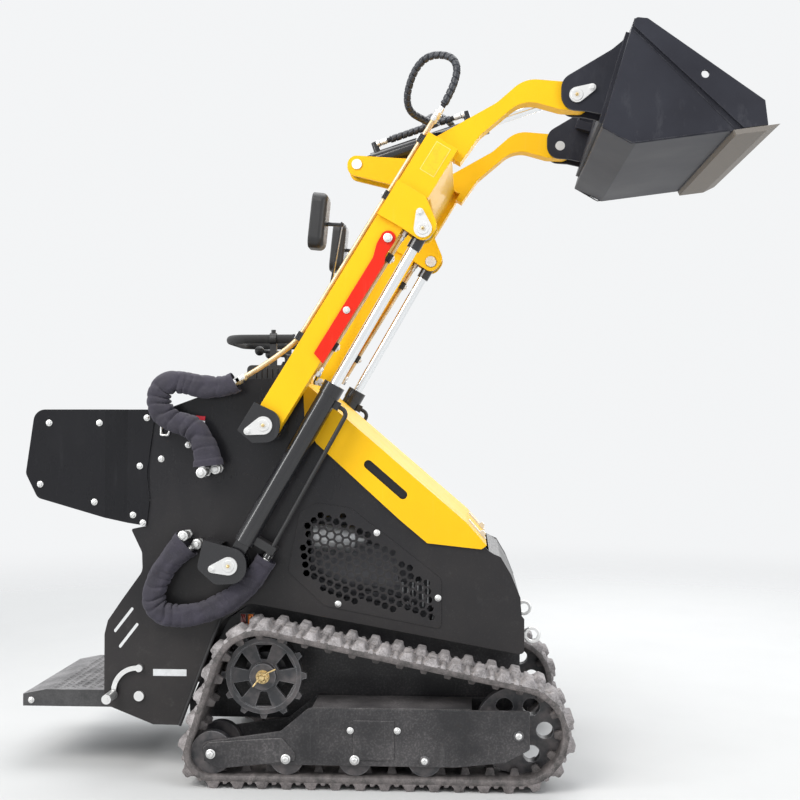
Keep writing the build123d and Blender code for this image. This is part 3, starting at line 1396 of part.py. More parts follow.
def main():
    os.makedirs("parts", exist_ok=True)
    save_pair("track", track())
    save_both("drive_sprockets", sprocket())
    save_both("drive_motors", drive_motor())
    shaft = FRAME_HALF_WIDTH + 4
    wheels = [
        split_wheel(REAR_X, REAR_Z, REAR_R, shaft),
        centre_wheel(FRONT_X, FRONT_Z, FRONT_R, shaft, WINDOWS, 24.0, 76.0),
        *[split_wheel(x, ROLLER_Z, ROLLER_R, shaft) for x in ROLLER_XS],
    ]
    save_both("track_wheels", *wheels)
    save_both("track_frames", track_frame())
    save_both("side_plates", side_plate())
    save_both("grilles", grille())
    save_both("wings", wing())
    mounts = [pivot_mount(*PIVOT, PIVOT_EAR_ROWS), pivot_mount(*LIFT_BASE, LIFT_EAR_ROWS)]
    save_both("pivot_mounts", *mounts)
    pins = [
        pin_with_flag(*PIVOT, PIN_R, 200, -EAR_OUTER_Y, -SIDE_FACE_Y),
        pin_with_flag(*LIFT_BASE, PIN_R, 190, -EAR_OUTER_Y, -SIDE_FACE_Y),
    ]
    save_both("pivot_pins", *pins)
    save("chassis_tub", chassis_tub())
    save("chassis_panels", *chassis_panels())
    save("engine", engine())
    save("platform", platform())
    save_both("platform_pins", platform_pins())
    save("hood", hood())
    save("hood_hinges", *hood_hinges())
    save_both("hood_latches", hood_latch())
    save("console_housing", console_housing())
    save("handlebar", handlebar(BAR_R))
    save_both("control_levers", bar_post(), control_lever())
    shell, glass = mirror_shell()
    save_both("mirror_shells", shell)
    save_both("mirror_glasses", glass)
    save_both("mirror_bars", mirror_bar())
    save_both("tie_down_eyes", tie_down_eye())
    save_both("foot_levers", *foot_lever())
    elbows = hose_elbows(UPPER_PORTS, PIPE_YS, UPPER_CORNERS[0])
    elbows += hose_elbows(LOWER_PORTS, LOWER_YS, LOWER_CORNERS[0])
    save_both("hose_elbows", *elbows)
    save_both("upper_hoses", *side_hoses("upper", UPPER_PORTS, PIPE_YS, UPPER_CORNERS, UPPER_END))
    save_both("lower_hoses", *side_hoses("lower", LOWER_PORTS, LOWER_YS, LOWER_CORNERS, LOWER_END))

    save_both("boom_arms", boom_arm())
    outer, inner = lift_bracket()
    save_both("lift_brackets", outer, inner)
    save("cross_beam", cross_beam())
    save_both("goosenecks", gooseneck())
    save_both("tilt_horn", horn())
    save_pair("boom_prop", prop())
    save_both("boom_pipes", boom_pipes())
    save("boom_hoses", *boom_hoses())
    flags = pin_with_flag(*LIFT_PIN, PIN_R, 100, -EAR_OUTER_Y, -EAR_INNER_Y)
    horn_reach = TILT_EYE_WIDTH / 2 + EAR_GAP + HORN_PLATE
    horn_pin = rod_across(*HORN, SMALL_PIN_R, -horn_reach - 4, horn_reach + 4)
    save("boom_pins", flags, left(flags), prop_pin(), left(prop_pin()), horn_pin)

    lift_y = -ARM_CENTRE_Y
    save_pair("lift_barrel", cylinder_barrel(
        LIFT_BASE, LIFT_ANGLE, lift_y, LIFT_BARREL, PIN_R, EYE_WIDTH, LIFT_NECK))
    save_pair("barrel_line", barrel_line())
    reach = LIFT_LENGTH - LIFT_BARREL + LIFT_ROD_INSIDE
    save_pair("lift_rod", cylinder_rod(LIFT_PIN, LIFT_ANGLE, lift_y, reach))
    save_pair("lift_rod_eye", rod_eye(LIFT_PIN, LIFT_ANGLE, lift_y, EYE_WIDTH))
    barrel = cylinder_barrel(HORN, TILT_ANGLE, 0, TILT_BARREL, SMALL_PIN_R, TILT_EYE_WIDTH, TILT_NECK)
    ports = [tilt_port(PORT_REAR_S, ELBOW_REACH), tilt_port(PORT_FRONT_S, -ELBOW_REACH)]
    save("tilt_barrel", fuse([barrel] + ports))
    reach = TILT_LENGTH - TILT_BARREL + TILT_ROD_INSIDE
    save("tilt_rod", cylinder_rod(TILT_EYE, TILT_ANGLE, 0, reach))
    save("tilt_rod_eye", rod_eye(TILT_EYE, TILT_ANGLE, 0, TILT_EYE_WIDTH))

    save("bucket", bucket())
    save_both("side_cutters", side_cutter())
    save("cutting_edge", cutting_edge())
    save("attach_frame", attach_frame())
    neck_outer = NECK_CENTRE_Y + NECK_WIDTH / 2 + EAR_GAP + ATTACH_PLATE
    neck_inner = NECK_CENTRE_Y - NECK_WIDTH / 2 - EAR_GAP - ATTACH_PLATE
    pin = pin_with_flag(*BUCKET_PIN, SMALL_PIN_R, 25, -neck_outer, -neck_inner)
    save_both("attach_pins", pin)
    save_both("attach_locks", attach_lock())


main()
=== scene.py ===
"""A stand-on compact track loader: finishes, fittings, hoses and a studio, round its construction model."""
import math

import bmesh
import bpy
from mathutils import Matrix, Vector, noise


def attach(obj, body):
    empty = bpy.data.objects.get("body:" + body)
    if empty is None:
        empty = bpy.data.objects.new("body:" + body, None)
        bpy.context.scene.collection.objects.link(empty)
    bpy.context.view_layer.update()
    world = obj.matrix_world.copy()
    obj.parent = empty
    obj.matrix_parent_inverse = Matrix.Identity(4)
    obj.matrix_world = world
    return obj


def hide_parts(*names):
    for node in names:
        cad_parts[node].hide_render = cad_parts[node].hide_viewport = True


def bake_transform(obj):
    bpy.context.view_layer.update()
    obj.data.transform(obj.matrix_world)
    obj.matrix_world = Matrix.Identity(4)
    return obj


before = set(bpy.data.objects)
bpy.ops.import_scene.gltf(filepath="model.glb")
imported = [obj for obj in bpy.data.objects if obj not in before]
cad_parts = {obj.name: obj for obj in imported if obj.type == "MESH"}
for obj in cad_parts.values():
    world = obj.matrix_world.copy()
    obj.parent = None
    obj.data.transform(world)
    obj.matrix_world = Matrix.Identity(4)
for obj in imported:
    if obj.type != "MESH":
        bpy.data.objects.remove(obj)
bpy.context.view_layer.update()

bl_info = {
    "name": "Stand-on track loader",
    "version": (1, 0, 0),
    "blender": (4, 5, 0),
    "location": "View3D > Sidebar > Loader",
    "description": "Finishes and fittings of a stand-on compact track loader, and its studio",
    "category": "Object",
}

# Places are in millimetres, as in the part's source: +X forward, +Y the machine's left, +Z up.
MM = 0.001

PIVOT = (-351.0, 1023.0)
ARM_ANGLE = 58.2
ARM_LENGTH = 967.0
ARM_HALF_DEPTH = 41.5
ARM_FACE_Y = 375.0
ARM_CENTRE_Y = 350.0
LIFT_BASE = (-451.0, 620.0)
LIFT_PIN = (107.0, 1585.0)
BUCKET_PIN = (548.0, 1971.0)
SIDE_FACE_Y = 290.0
PIN_FACE_Y = 398.0
LIFT_PIN_INNER_Y = 322.0
BUCKET_PIN_FACE_Y = 362.0
SPROCKET = (-352.0, 304.0)
PIPE_OFF = 9.5
PIPE_SPREAD = 13.0


# Settings

def colour_setting(name, description, default):
    return bpy.props.FloatVectorProperty(
        name=name, description=description, default=default, subtype="COLOR", size=3, min=0.0, max=1.0
    )


def length_setting(name, description, default):
    return bpy.props.FloatProperty(
        name=name, description=description, default=default, unit="LENGTH", subtype="DISTANCE", min=0.0
    )


def angle_setting(name, description, degrees):
    return bpy.props.FloatProperty(
        name=name, description=description, default=math.radians(degrees), unit="ROTATION"
    )


def share_setting(name, description, default):
    return bpy.props.FloatProperty(
        name=name, description=description, default=default, subtype="FACTOR", min=0.0, max=1.0
    )


class LoaderColours(bpy.types.PropertyGroup):
    """The machine's colours."""

    yellow: colour_setting("Yellow", "Yellow enamel of the boom and hood", (0.95, 0.53, 0.006))
    black: colour_setting("Black", "Black enamel of the chassis and bucket", (0.011, 0.011, 0.013))
    red: colour_setting("Red", "Red enamel of the boom props", (0.74, 0.020, 0.006))
    rubber: colour_setting("Rubber", "Track rubber under its dust", (0.070, 0.064, 0.062))
    dust: colour_setting("Dust", "Dry dust on the tracks and low panels", (0.45, 0.42, 0.42))
    earth: colour_setting("Earth", "Browner dirt close to the ground", (0.27, 0.235, 0.23))
    cloth: colour_setting("Cloth", "Woven sleeve of the hoses", (0.027, 0.024, 0.036))
    pipe: colour_setting("Pipe", "Yellow-passivated hydraulic pipe", (0.66, 0.50, 0.30))
    brass: colour_setting("Brass", "Sprocket nuts and grease nipples", (0.74, 0.56, 0.28))


class LoaderWear(bpy.types.PropertyGroup):
    """How worn and dusty the machine is."""

    dust: share_setting("Dust", "Dust on flat and low surfaces", 0.35)
    scratches: share_setting("Scratches", "Rub marks in the enamel", 0.30)
    edges: share_setting("Edges", "Paint rubbed thin along edges", 0.50)


class HoseSettings(bpy.types.PropertyGroup):
    """Hoses and their sleeves."""

    hose_radius: length_setting("Hose radius", "Radius of a hose under its sleeve", 0.0075)
    loop_radius: length_setting("Loop radius", "Radius of a hose to the bucket's cylinder", 0.0078)
    wrap_height: length_setting("Wrap height", "How far the spiral wrap stands out", 0.0032)
    wrap_pitch: length_setting("Wrap pitch", "Distance from turn to turn of the spiral wrap", 0.019)
    sleeve_width: length_setting("Sleeve width", "Width of a sleeve seen from the side", 0.064)
    sleeve_depth: length_setting("Sleeve depth", "Depth of a sleeve across the machine", 0.050)
    sleeve_wall: length_setting("Sleeve wall", "Thickness of a sleeve's cloth", 0.0016)
    hem: length_setting("Hem", "Width of the sleeves' hems", 0.020)


class TreadSettings(bpy.types.PropertyGroup):
    """The rubber tracks' tread."""

    links: bpy.props.IntProperty(name="Links", description="Lugs in one row of a track", default=37, min=3)
    lug_height: length_setting("Lug height", "How far the lugs stand out of the belt", 0.018)
    lug_root: length_setting("Lug root", "Length of a lug at the belt", 0.038)
    lug_tip: length_setting("Lug tip", "Length of a lug at its tip", 0.023)


class StageSettings(bpy.types.PropertyGroup):
    """Floor, camera and lamps."""

    floor: colour_setting("Floor", "Pale studio floor", (0.62, 0.62, 0.615))
    floor_size: length_setting("Floor size", "Side of the floor", 40.0)
    floor_clear: length_setting("Floor clear", "Distance at which the floor starts to fade", 2.4)
    camera_x: length_setting("Camera X", "How far forward the camera stands", 0.238)
    camera_distance: length_setting("Camera distance", "How far the camera stands to the right", 3.766)
    camera_height: length_setting("Camera height", "Height of the camera", 1.033)
    camera_turn: angle_setting("Camera turn", "Turn of the view to the left", 3.33)
    camera_rise: angle_setting("Camera rise", "Upward tilt of the view", 1.06)
    lens: bpy.props.FloatProperty(
        name="Lens", description="Focal length in millimetres", default=53.37, min=1.0
    )


def colours():
    return bpy.context.scene.loader_colours


def wear():
    return bpy.context.scene.loader_wear


def hoses():
    return bpy.context.scene.hose_settings


# Shader tools

class Signal:
    """A value socket that takes part in Python arithmetic."""

    def __init__(self, finish, socket):
        self.finish = finish
        self.socket = socket

    def math(self, operation, *others):
        return self.finish.value("ShaderNodeMath", {"operation": operation}, self, *others)

    def __add__(self, other):
        return self.math("ADD", other)

    __radd__ = __add__

    def __sub__(self, other):
        return self.math("SUBTRACT", other)

    def __rsub__(self, other):
        return self.finish.value("ShaderNodeMath", {"operation": "SUBTRACT"}, other, self)

    def __mul__(self, other):
        return self.math("MULTIPLY", other)

    __rmul__ = __mul__

    def __pow__(self, other):
        return self.math("POWER", other)

    def or_more(self, other):
        return self.math("MAXIMUM", other)

    def sine(self):
        return self.math("SINE")

    def within(self, low, high):
        """0 below low, 1 above high, straight between."""
        return self.finish.value("ShaderNodeMapRange", {"clamp": True}, self, low, high, 0.0, 1.0)


class Finish:
    """One material in the making."""

    def __init__(self, name):
        self.material = bpy.data.materials.new(name)
        self.material.use_nodes = True
        self.tree = self.material.node_tree
        self.shader = self.tree.nodes["Principled BSDF"]

    def node(self, kind, settings, *inputs, **named):
        """A node of one kind: its settings first, then the values or links of its sockets."""
        made = self.tree.nodes.new(kind)
        for key, setting in settings.items():
            setattr(made, key, setting)
        for socket, given in zip([s for s in made.inputs if s.enabled], inputs):
            self.feed(socket, given)
        for key, given in named.items():
            self.feed(made.inputs[key.replace("_", " ")], given)
        return made

    def feed(self, socket, given):
        if given is None:
            return
        if isinstance(given, Signal):
            self.tree.links.new(given.socket, socket)
        else:
            socket.default_value = given

    def value(self, kind, settings, *inputs, **named):
        made = self.node(kind, settings, *inputs, **named)
        return Signal(self, [s for s in made.outputs if s.enabled][0])

    def place(self):
        return Signal(self, self.node("ShaderNodeTexCoord", {}).outputs["Object"])

    def axis(self, letter):
        parts = self.node("ShaderNodeSeparateXYZ", {}, self.place())
        return Signal(self, parts.outputs[letter])

    def normal(self):
        return Signal(self, self.node("ShaderNodeNewGeometry", {}).outputs["Normal"])

    def upward(self):
        """The Z part of the surface normal, 1 on what faces up."""
        parts = self.node("ShaderNodeSeparateXYZ", {}, self.normal())
        return Signal(self, parts.outputs["Z"])

    def softened(self, radius):
        """The normal of a surface whose edges are rounded."""
        return self.value("ShaderNodeBevel", {"samples": 3}, radius)

    def edges(self, radius):
        """1 along edges, 0 on flat and gently curved faces."""
        kind, settings = "ShaderNodeVectorMath", {"operation": "DOT_PRODUCT"}
        made = self.node(kind, settings, self.softened(radius), self.normal())
        return (1 - Signal(self, made.outputs["Value"])).within(0.02, 0.20)

    def noise(self, scale, detail=3.0, roughness=0.55, stretch=None):
        where = self.place()
        if stretch:
            where = self.value("ShaderNodeMapping", {}, where, Scale=stretch)
        sockets = {"Scale": scale, "Detail": detail, "Roughness": roughness}
        made = self.node("ShaderNodeTexNoise", {}, Vector=where, **sockets)
        return Signal(self, made.outputs["Fac"])

    def cells(self, scale, feature="F1"):
        made = self.node("ShaderNodeTexVoronoi", {"feature": feature}, Vector=self.place(), Scale=scale)
        return Signal(self, made.outputs["Distance"])

    def mix(self, mask, below, above):
        """One colour over another, where the mask is 1."""
        made = self.tree.nodes.new("ShaderNodeMix")
        made.data_type = "RGBA"
        sockets = {s.identifier: s for s in made.inputs}
        self.feed(sockets["Factor_Float"], mask)
        self.feed(sockets["A_Color"], below)
        self.feed(sockets["B_Color"], above)
        return Signal(self, {s.identifier: s for s in made.outputs}["Result_Color"])

    def bump(self, height, strength, distance, over=None):
        sockets = {"Strength": strength, "Distance": distance, "Height": height, "Normal": over}
        made = self.node("ShaderNodeBump", {}, **sockets)
        self.tree.links.new(made.outputs["Normal"], self.shader.inputs["Normal"])

    def grain(self, noise, strength, height, rounding=None):
        """The bump of a fine noise, over rounded edges if a rounding is given."""
        self.bump(self.noise(*noise), strength, height, rounding and self.softened(rounding))

    def set(self, **sockets):
        for key, given in sockets.items():
            self.feed(self.shader.inputs[key.replace("_", " ")], given)


def opaque(colour, level=1.0):
    return (*[c * level for c in colour], 1.0)


def dust_mask(finish, low_share, lying_share):
    """Dust that gathers low down and on what faces up."""
    low = 1 - finish.axis("Z").within(0.05, 0.95)
    lying = finish.upward().within(0.3, 0.95)
    patches = finish.noise(7.0, 6.0).within(0.36, 0.68)
    specks = finish.noise(170.0, 2.0).within(0.48, 0.75)
    share = (low * low_share + lying * lying_share) * (wear().dust * 2.0)
    return (share * (patches * 0.8 + 0.2) * (specks * 0.6 + 0.4)).within(0.0, 1.0)


# Finishes: each function fills the material that is named after it

def painted(finish, colour, low_dust, lying_dust, roughness, worn, rounding=0.0015, coat=0.12, shine=0.25):
    """Enamel with faint orange peel, smudges, rub marks, dust, and paint rubbed thin along its edges."""
    dust = dust_mask(finish, low_dust, lying_dust)
    tone = finish.noise(2.5, 4.0).within(0.3, 0.7)
    smudge = finish.noise(11.0, 5.0, 0.65, (1.0, 1.0, 0.45)).within(0.48, 0.70)
    rubs = finish.noise(40.0, 5.0, 0.7, (1.0, 1.0, 0.10)).within(0.61, 0.74) * wear().scratches
    flecks = finish.noise(420.0, 1.0).within(0.70, 0.76) * finish.noise(6.0, 3.0).within(0.42, 0.6)
    patchy = finish.noise(60.0, 4.0).within(0.35, 0.65)
    thin = finish.edges(rounding * 1.6) * patchy * wear().edges
    paint = finish.mix(tone, opaque(colour, 0.88), opaque(colour))
    rubbed = finish.mix((rubs * 0.5).or_more(flecks * 0.35).or_more(thin), paint, opaque(worn))
    soiled = finish.mix(dust, rubbed, opaque(colours().dust, 0.7))
    finish.set(Base_Color=soiled, Coat_Roughness=0.08, Specular_IOR_Level=shine)
    finish.set(Roughness=smudge * 0.10 + rubs * 0.25 + dust * 0.5 + thin * 0.2 + roughness)
    finish.set(Coat_Weight=(1 - dust) * coat)
    finish.grain((300.0, 2.0), 0.05, 0.0006, rounding)


def mottled(finish, blotches, span, below, above, rough, grain, share=1.0, **sockets):
    """Two colours in blotches, a noise cut to its span; rough holds their slope and base in roughness."""
    mask = finish.noise(*blotches).within(*span)
    finish.set(Base_Color=finish.mix(mask * share, below, above))
    finish.set(Roughness=mask * rough[0] + rough[1], **sockets)
    finish.grain(*grain)


def yellow_enamel(finish):
    painted(finish, colours().yellow, 0.05, 0.05, 0.50, (0.95, 0.66, 0.12), coat=0.05, shine=0.2)


def yellow_weld(finish):
    """Enamel over weld beads and castings."""
    below, above = opaque(colours().yellow, 0.95), opaque(colours().yellow, 0.55)
    coat = {"Coat_Weight": 0.3, "Coat_Roughness": 0.1}
    grain = ((260.0, 3.0), 0.25, 0.0006)
    mottled(finish, (90.0, 4.0), (0.45, 0.75), below, above, (0.2, 0.3), grain, 0.5, **coat)


def black_enamel(finish):
    painted(finish, colours().black, 0.10, 0.12, 0.18, (0.07, 0.07, 0.075), coat=0.3, shine=0.5)


def panel_black(finish):
    """The wings' deep black."""
    painted(finish, colours().black, 0.06, 0.08, 0.26, (0.06, 0.06, 0.065), coat=0.02, shine=0.2)


def chassis_black(finish):
    """The side plates' enamel, greyer and browner low down: partly dust and the dulling of hands, partly a
    painted reflection of the bright ground.
    """
    low = 1 - finish.axis("Z").within(0.15, 1.0)
    clouds = finish.noise(3.5, 6.0, 0.6).within(0.32, 0.72)
    smears = finish.noise(9.0, 6.0, 0.7, (1.0, 1.0, 0.3)).within(0.50, 0.72)
    specks = finish.noise(330.0, 2.0).within(0.64, 0.76)
    splash = finish.noise(24.0, 7.0, 0.75).within(0.56, 0.72)
    # The film is dust low down and also a painted reflection of the pale ground, which lightens the low
    # plates.
    film = low * (clouds * 0.55 + 0.25) + smears * 0.10
    thin = finish.edges(0.0024) * finish.noise(70.0, 4.0).within(0.35, 0.65) * wear().edges
    # The brownish grey is both dust colour and a painted reflection of the ground.
    dust_and_reflection_tone = finish.mix(film * 0.42, opaque(colours().black, 1.15), (0.105, 0.090, 0.080, 1.0))
    marks = (specks * 0.18 + splash * low * 0.16).or_more(thin * 0.8)
    finish.set(Base_Color=finish.mix(marks, dust_and_reflection_tone, (0.16, 0.15, 0.145, 1.0)), Specular_IOR_Level=0.25)
    finish.set(Roughness=film * 0.28 + smears * 0.10 + 0.25)
    finish.set(Coat_Weight=(1 - film) * 0.06, Coat_Roughness=0.12)
    finish.grain((260.0, 2.0), 0.05, 0.0006, 0.0015)


def bucket_black(finish):
    """Slate-black enamel, scuffed pale along its low edges."""
    clouds = finish.noise(4.0, 5.0).within(0.3, 0.7)
    scuffs = finish.noise(14.0, 7.0, 0.75, (1.0, 1.0, 0.4)).within(0.55, 0.70)
    thin = finish.edges(0.004) * finish.noise(45.0, 5.0).within(0.38, 0.6) * wear().edges
    under = 1 - finish.axis("Z").within(1.84, 1.99)
    slate = finish.mix(clouds, (0.018, 0.018, 0.024, 1.0), (0.030, 0.031, 0.040, 1.0))
    worn = (scuffs * (under * 0.16 + 0.10)).or_more(thin)
    finish.set(Base_Color=finish.mix(worn, slate, (0.12, 0.12, 0.13, 1.0)))
    finish.set(Roughness=clouds * 0.10 + worn * 0.20 + 0.40, Coat_Weight=0.03, Coat_Roughness=0.12)
    finish.set(Specular_IOR_Level=0.15)
    finish.grain((200.0, 3.0), 0.07, 0.0008, 0.002)


def undercarriage_black(finish):
    black, worn = (0.017, 0.017, 0.019), (0.22, 0.215, 0.21)
    painted(finish, black, 0.60, 0.95, 0.36, worn, 0.0028, 0.10)


def red_enamel(finish):
    painted(finish, colours().red, 0.03, 0.03, 0.40, (0.80, 0.16, 0.10), coat=0.05, shine=0.2)


def hard_chrome(finish):
    turned = finish.noise(60.0, 2.0, 0.5, (1.0, 1.0, 8.0))
    finish.set(Base_Color=(0.58, 0.59, 0.61, 1.0), Metallic=1.0, Roughness=turned * 0.08 + 0.10)


def zinc(finish):
    bloom = finish.noise(40.0, 5.0).within(0.35, 0.7)
    grime = finish.edges(0.002) * finish.noise(120.0, 3.0).within(0.35, 0.7)
    plated = finish.mix(bloom, (0.62, 0.63, 0.64, 1.0), (0.43, 0.44, 0.46, 1.0))
    finish.set(Base_Color=finish.mix(grime * 0.35, plated, (0.22, 0.20, 0.18, 1.0)))
    finish.set(Metallic=0.75, Roughness=bloom * 0.16 + 0.28)
    finish.grain((500.0, 2.0), 0.06, 0.0004, 0.0008)


def brass(finish):
    below, above = opaque(colours().brass), opaque(colours().brass, 0.45)
    grain = ((400.0, 2.0), 0.1, 0.0004)
    mottled(finish, (150.0, 4.0), (0.4, 0.7), below, above, (0.25, 0.28), grain, Metallic=0.9)


def worn_steel(finish):
    """Bare steel that the ground has brushed, under a thin film of dirt."""
    dust = dust_mask(finish, 0.0, 0.12)
    scuffs = finish.noise(18.0, 6.0, 0.7).within(0.42, 0.62)
    steel = finish.mix(scuffs, (0.024, 0.024, 0.027, 1.0), (0.075, 0.075, 0.080, 1.0))
    finish.set(Base_Color=finish.mix(dust, steel, opaque(colours().dust)))
    finish.set(Metallic=scuffs * 0.3, Roughness=dust * 0.4 + 0.42, Specular_IOR_Level=0.2)
    finish.grain((90.0, 4.0), 0.15, 0.001, 0.002)


def wheel_black(finish):
    """Painted wheels, rubbed bright where the track runs."""
    grime = finish.noise(26.0, 6.0).within(0.40, 0.70)
    rim = finish.edges(0.005) * finish.noise(30.0, 3.0).within(0.30, 0.60)
    paint = finish.mix(grime * 0.5, (0.028, 0.029, 0.033, 1.0), opaque(colours().earth, 0.8))
    finish.set(Base_Color=finish.mix(rim, paint, (0.30, 0.30, 0.31, 1.0)))
    finish.set(Roughness=grime * 0.30 + 0.36, Metallic=rim * 0.5)
    finish.grain((120.0, 5.0), 0.12, 0.0012, 0.002)


def tread_rubber(finish):
    """The tread, under pale dust with darker rubbed spots."""
    cake = finish.noise(22.0, 8.0, 0.70).within(0.30, 0.60)
    specks = finish.noise(230.0, 3.0).within(0.35, 0.70)
    low = 1 - finish.axis("Z").within(0.02, 0.30)
    soil = finish.mix(low * 0.75, opaque(colours().dust), opaque(colours().earth))
    mask = (cake * 0.65 + specks * 0.35).within(0.05, 0.95)
    finish.set(Base_Color=finish.mix(mask, opaque(colours().rubber), soil))
    finish.set(Roughness=mask * 0.15 + 0.75)
    finish.grain((150.0, 7.0, 0.7), 0.45, 0.0022, 0.0025)


def belt_rubber(finish):
    """The belt's edge and inside, browner and less dusty than the tread."""
    cake = finish.noise(30.0, 8.0, 0.70, (1.0, 0.3, 1.0)).within(0.40, 0.70)
    specks = finish.noise(260.0, 3.0).within(0.50, 0.75)
    mask = cake * 0.45 + specks * 0.25
    finish.set(Base_Color=finish.mix(mask, opaque(colours().rubber, 0.8), opaque(colours().earth, 1.3)))
    finish.set(Roughness=mask * 0.2 + 0.62)
    finish.grain((170.0, 6.0), 0.30, 0.0015)


def cast_grey(finish):
    below, above = (0.09, 0.09, 0.10, 1.0), (0.17, 0.17, 0.18, 1.0)
    grain = ((160.0, 3.0), 0.2, 0.001, 0.003)
    mottled(finish, (22.0, 6.0), (0.3, 0.7), below, above, (0.2, 0.5), grain, Metallic=0.3)


def cast_alloy(finish):
    below, above = (0.56, 0.57, 0.58, 1.0), (0.36, 0.36, 0.37, 1.0)
    grain = ((240.0, 3.0), 0.25, 0.0008)
    mottled(finish, (35.0, 6.0), (0.35, 0.7), below, above, (0.2, 0.38), grain, Metallic=0.8)


def moulded_plastic(finish):
    """Black moulded plastic with a fine leathery grain."""
    dust = dust_mask(finish, 0.1, 0.25)
    finish.set(Base_Color=finish.mix(dust, (0.013, 0.013, 0.014, 1.0), opaque(colours().dust, 0.8)))
    finish.set(Roughness=finish.noise(14.0, 4.0) * 0.12 + dust * 0.3 + 0.38)
    finish.bump(finish.cells(900.0), 0.18, 0.0004, finish.softened(0.0015))


def bar_foam(finish):
    """Closed-cell foam of the handlebar."""
    worn = finish.noise(20.0, 5.0).within(0.45, 0.7)
    finish.set(Base_Color=finish.mix(worn, (0.010, 0.010, 0.011, 1.0), (0.030, 0.030, 0.031, 1.0)))
    finish.set(Roughness=worn * 0.15 + 0.78, Sheen_Weight=0.15)
    finish.bump(finish.cells(1100.0), 0.45, 0.0005)


def silvered_glass(finish):
    haze = finish.noise(9.0, 5.0).within(0.45, 0.8)
    finish.set(Base_Color=(0.86, 0.88, 0.89, 1.0), Metallic=1.0, Roughness=haze * 0.10 + 0.03)


def hose_rubber(finish):
    below, above = (0.011, 0.011, 0.012, 1.0), (0.032, 0.031, 0.032, 1.0)
    grain = ((700.0, 2.0), 0.25, 0.0004)
    mottled(finish, (30.0, 5.0), (0.4, 0.7), below, above, (0.15, 0.45), grain)


def spiral_plastic(finish):
    below, above = (0.016, 0.018, 0.024, 1.0), (0.034, 0.037, 0.046, 1.0)
    grain = ((500.0, 2.0), 0.10, 0.0004)
    mottled(finish, (50.0, 4.0), (0.4, 0.7), below, above, (0.12, 0.34), grain)


# In metres: from thread to thread of the sleeves' cloth, and from rib to rib of a lens
THREAD_PITCH = 0.0016
RIB_PITCH = 0.004


def sleeve_cloth(finish):
    """Plain-woven nylon with a dusty nap, and painted top light that makes faces pointing up paler."""
    cloth = colours().cloth
    thread = 2 * math.pi / THREAD_PITCH
    warp = ((finish.axis("X") + finish.axis("Z")) * thread).sine()
    weft = ((finish.axis("Y") * 1.4 + finish.axis("X") * 0.5 - finish.axis("Z") * 0.5) * thread).sine()
    nap = finish.noise(16.0, 6.0, 0.65).within(0.38, 0.72)
    lint = finish.noise(380.0, 2.0).within(0.60, 0.74)
    # Painted light: faces that point up are mixed towards the pale lint colour, as if lit from above.
    lit = finish.upward().within(0.1, 0.9) * 0.16
    dyed = finish.mix(nap, opaque(cloth, 0.75), opaque(cloth, 1.45))
    # The pale colour serves both the lint specks and the painted top light.
    finish.set(Base_Color=finish.mix(lit.or_more(lint * 0.30), dyed, (0.17, 0.155, 0.175, 1.0)))
    finish.set(Roughness=nap * 0.10 + 0.78, Sheen_Weight=0.15, Sheen_Roughness=0.5)
    finish.set(Sheen_Tint=(0.72, 0.70, 0.80, 1.0))
    finish.bump(warp * weft + finish.noise(120.0, 4.0) * 2.0, 0.35, 0.0005)


def passivated_pipe(finish):
    below, above = opaque(colours().pipe, 1.15), opaque(colours().pipe, 0.72)
    stain = (45.0, 5.0, 0.6, (1.0, 1.0, 0.35))
    grain = ((420.0, 2.0), 0.06, 0.0004)
    mottled(finish, stain, (0.35, 0.70), below, above, (0.16, 0.30), grain, Metallic=0.65)


def plate_tread(finish):
    """The step's plate, dusty light grey over black."""
    cake = finish.noise(16.0, 8.0, 0.7).within(0.30, 0.62)
    specks = finish.noise(200.0, 3.0).within(0.38, 0.70)
    lying = finish.upward().within(0.2, 0.9)
    mask = (cake * 0.6 + specks * 0.4) * (lying * 0.8 + 0.15)
    finish.set(Base_Color=finish.mix(mask, (0.020, 0.020, 0.021, 1.0), (0.37, 0.36, 0.365, 1.0)))
    finish.set(Roughness=mask * 0.35 + 0.42)
    finish.grain((160.0, 5.0), 0.2, 0.001, 0.001)


def printed(finish, colour):
    """A blank plate or sticker, a little grubby."""
    below, above = opaque(colour), opaque(colour, 0.55)
    grain = ((300.0, 2.0), 0.04, 0.0003)
    mottled(finish, (60.0, 6.0, 0.7), (0.45, 0.75), below, above, (0.25, 0.35), grain, 0.45)


def white_label(finish):
    printed(finish, (0.72, 0.73, 0.74))


def red_label(finish):
    printed(finish, (0.60, 0.03, 0.05))


def yellow_label(finish):
    printed(finish, colours().yellow)


def frame_label(finish):
    printed(finish, (0.96, 0.66, 0.16))


def lens(finish, colour):
    """A ribbed lamp lens."""
    ribs = (finish.axis("Z") * (2 * math.pi / RIB_PITCH)).sine()
    dirt = finish.noise(120.0, 5.0).within(0.45, 0.75)
    finish.set(Base_Color=finish.mix(dirt * 0.5, opaque(colour), opaque(colour, 0.3)))
    finish.set(Roughness=dirt * 0.3 + 0.15, Coat_Weight=0.6, Coat_Roughness=0.08)
    finish.bump(ribs, 0.4, 0.0008)


def amber_lens(finish):
    lens(finish, (0.62, 0.15, 0.01))


def dark_red_lens(finish):
    lens(finish, (0.16, 0.012, 0.008))


def made(fill):
    """The material of a finish's function, made once."""
    name = fill.__name__
    if name not in bpy.data.materials:
        fill(Finish(name))
    return bpy.data.materials[name]


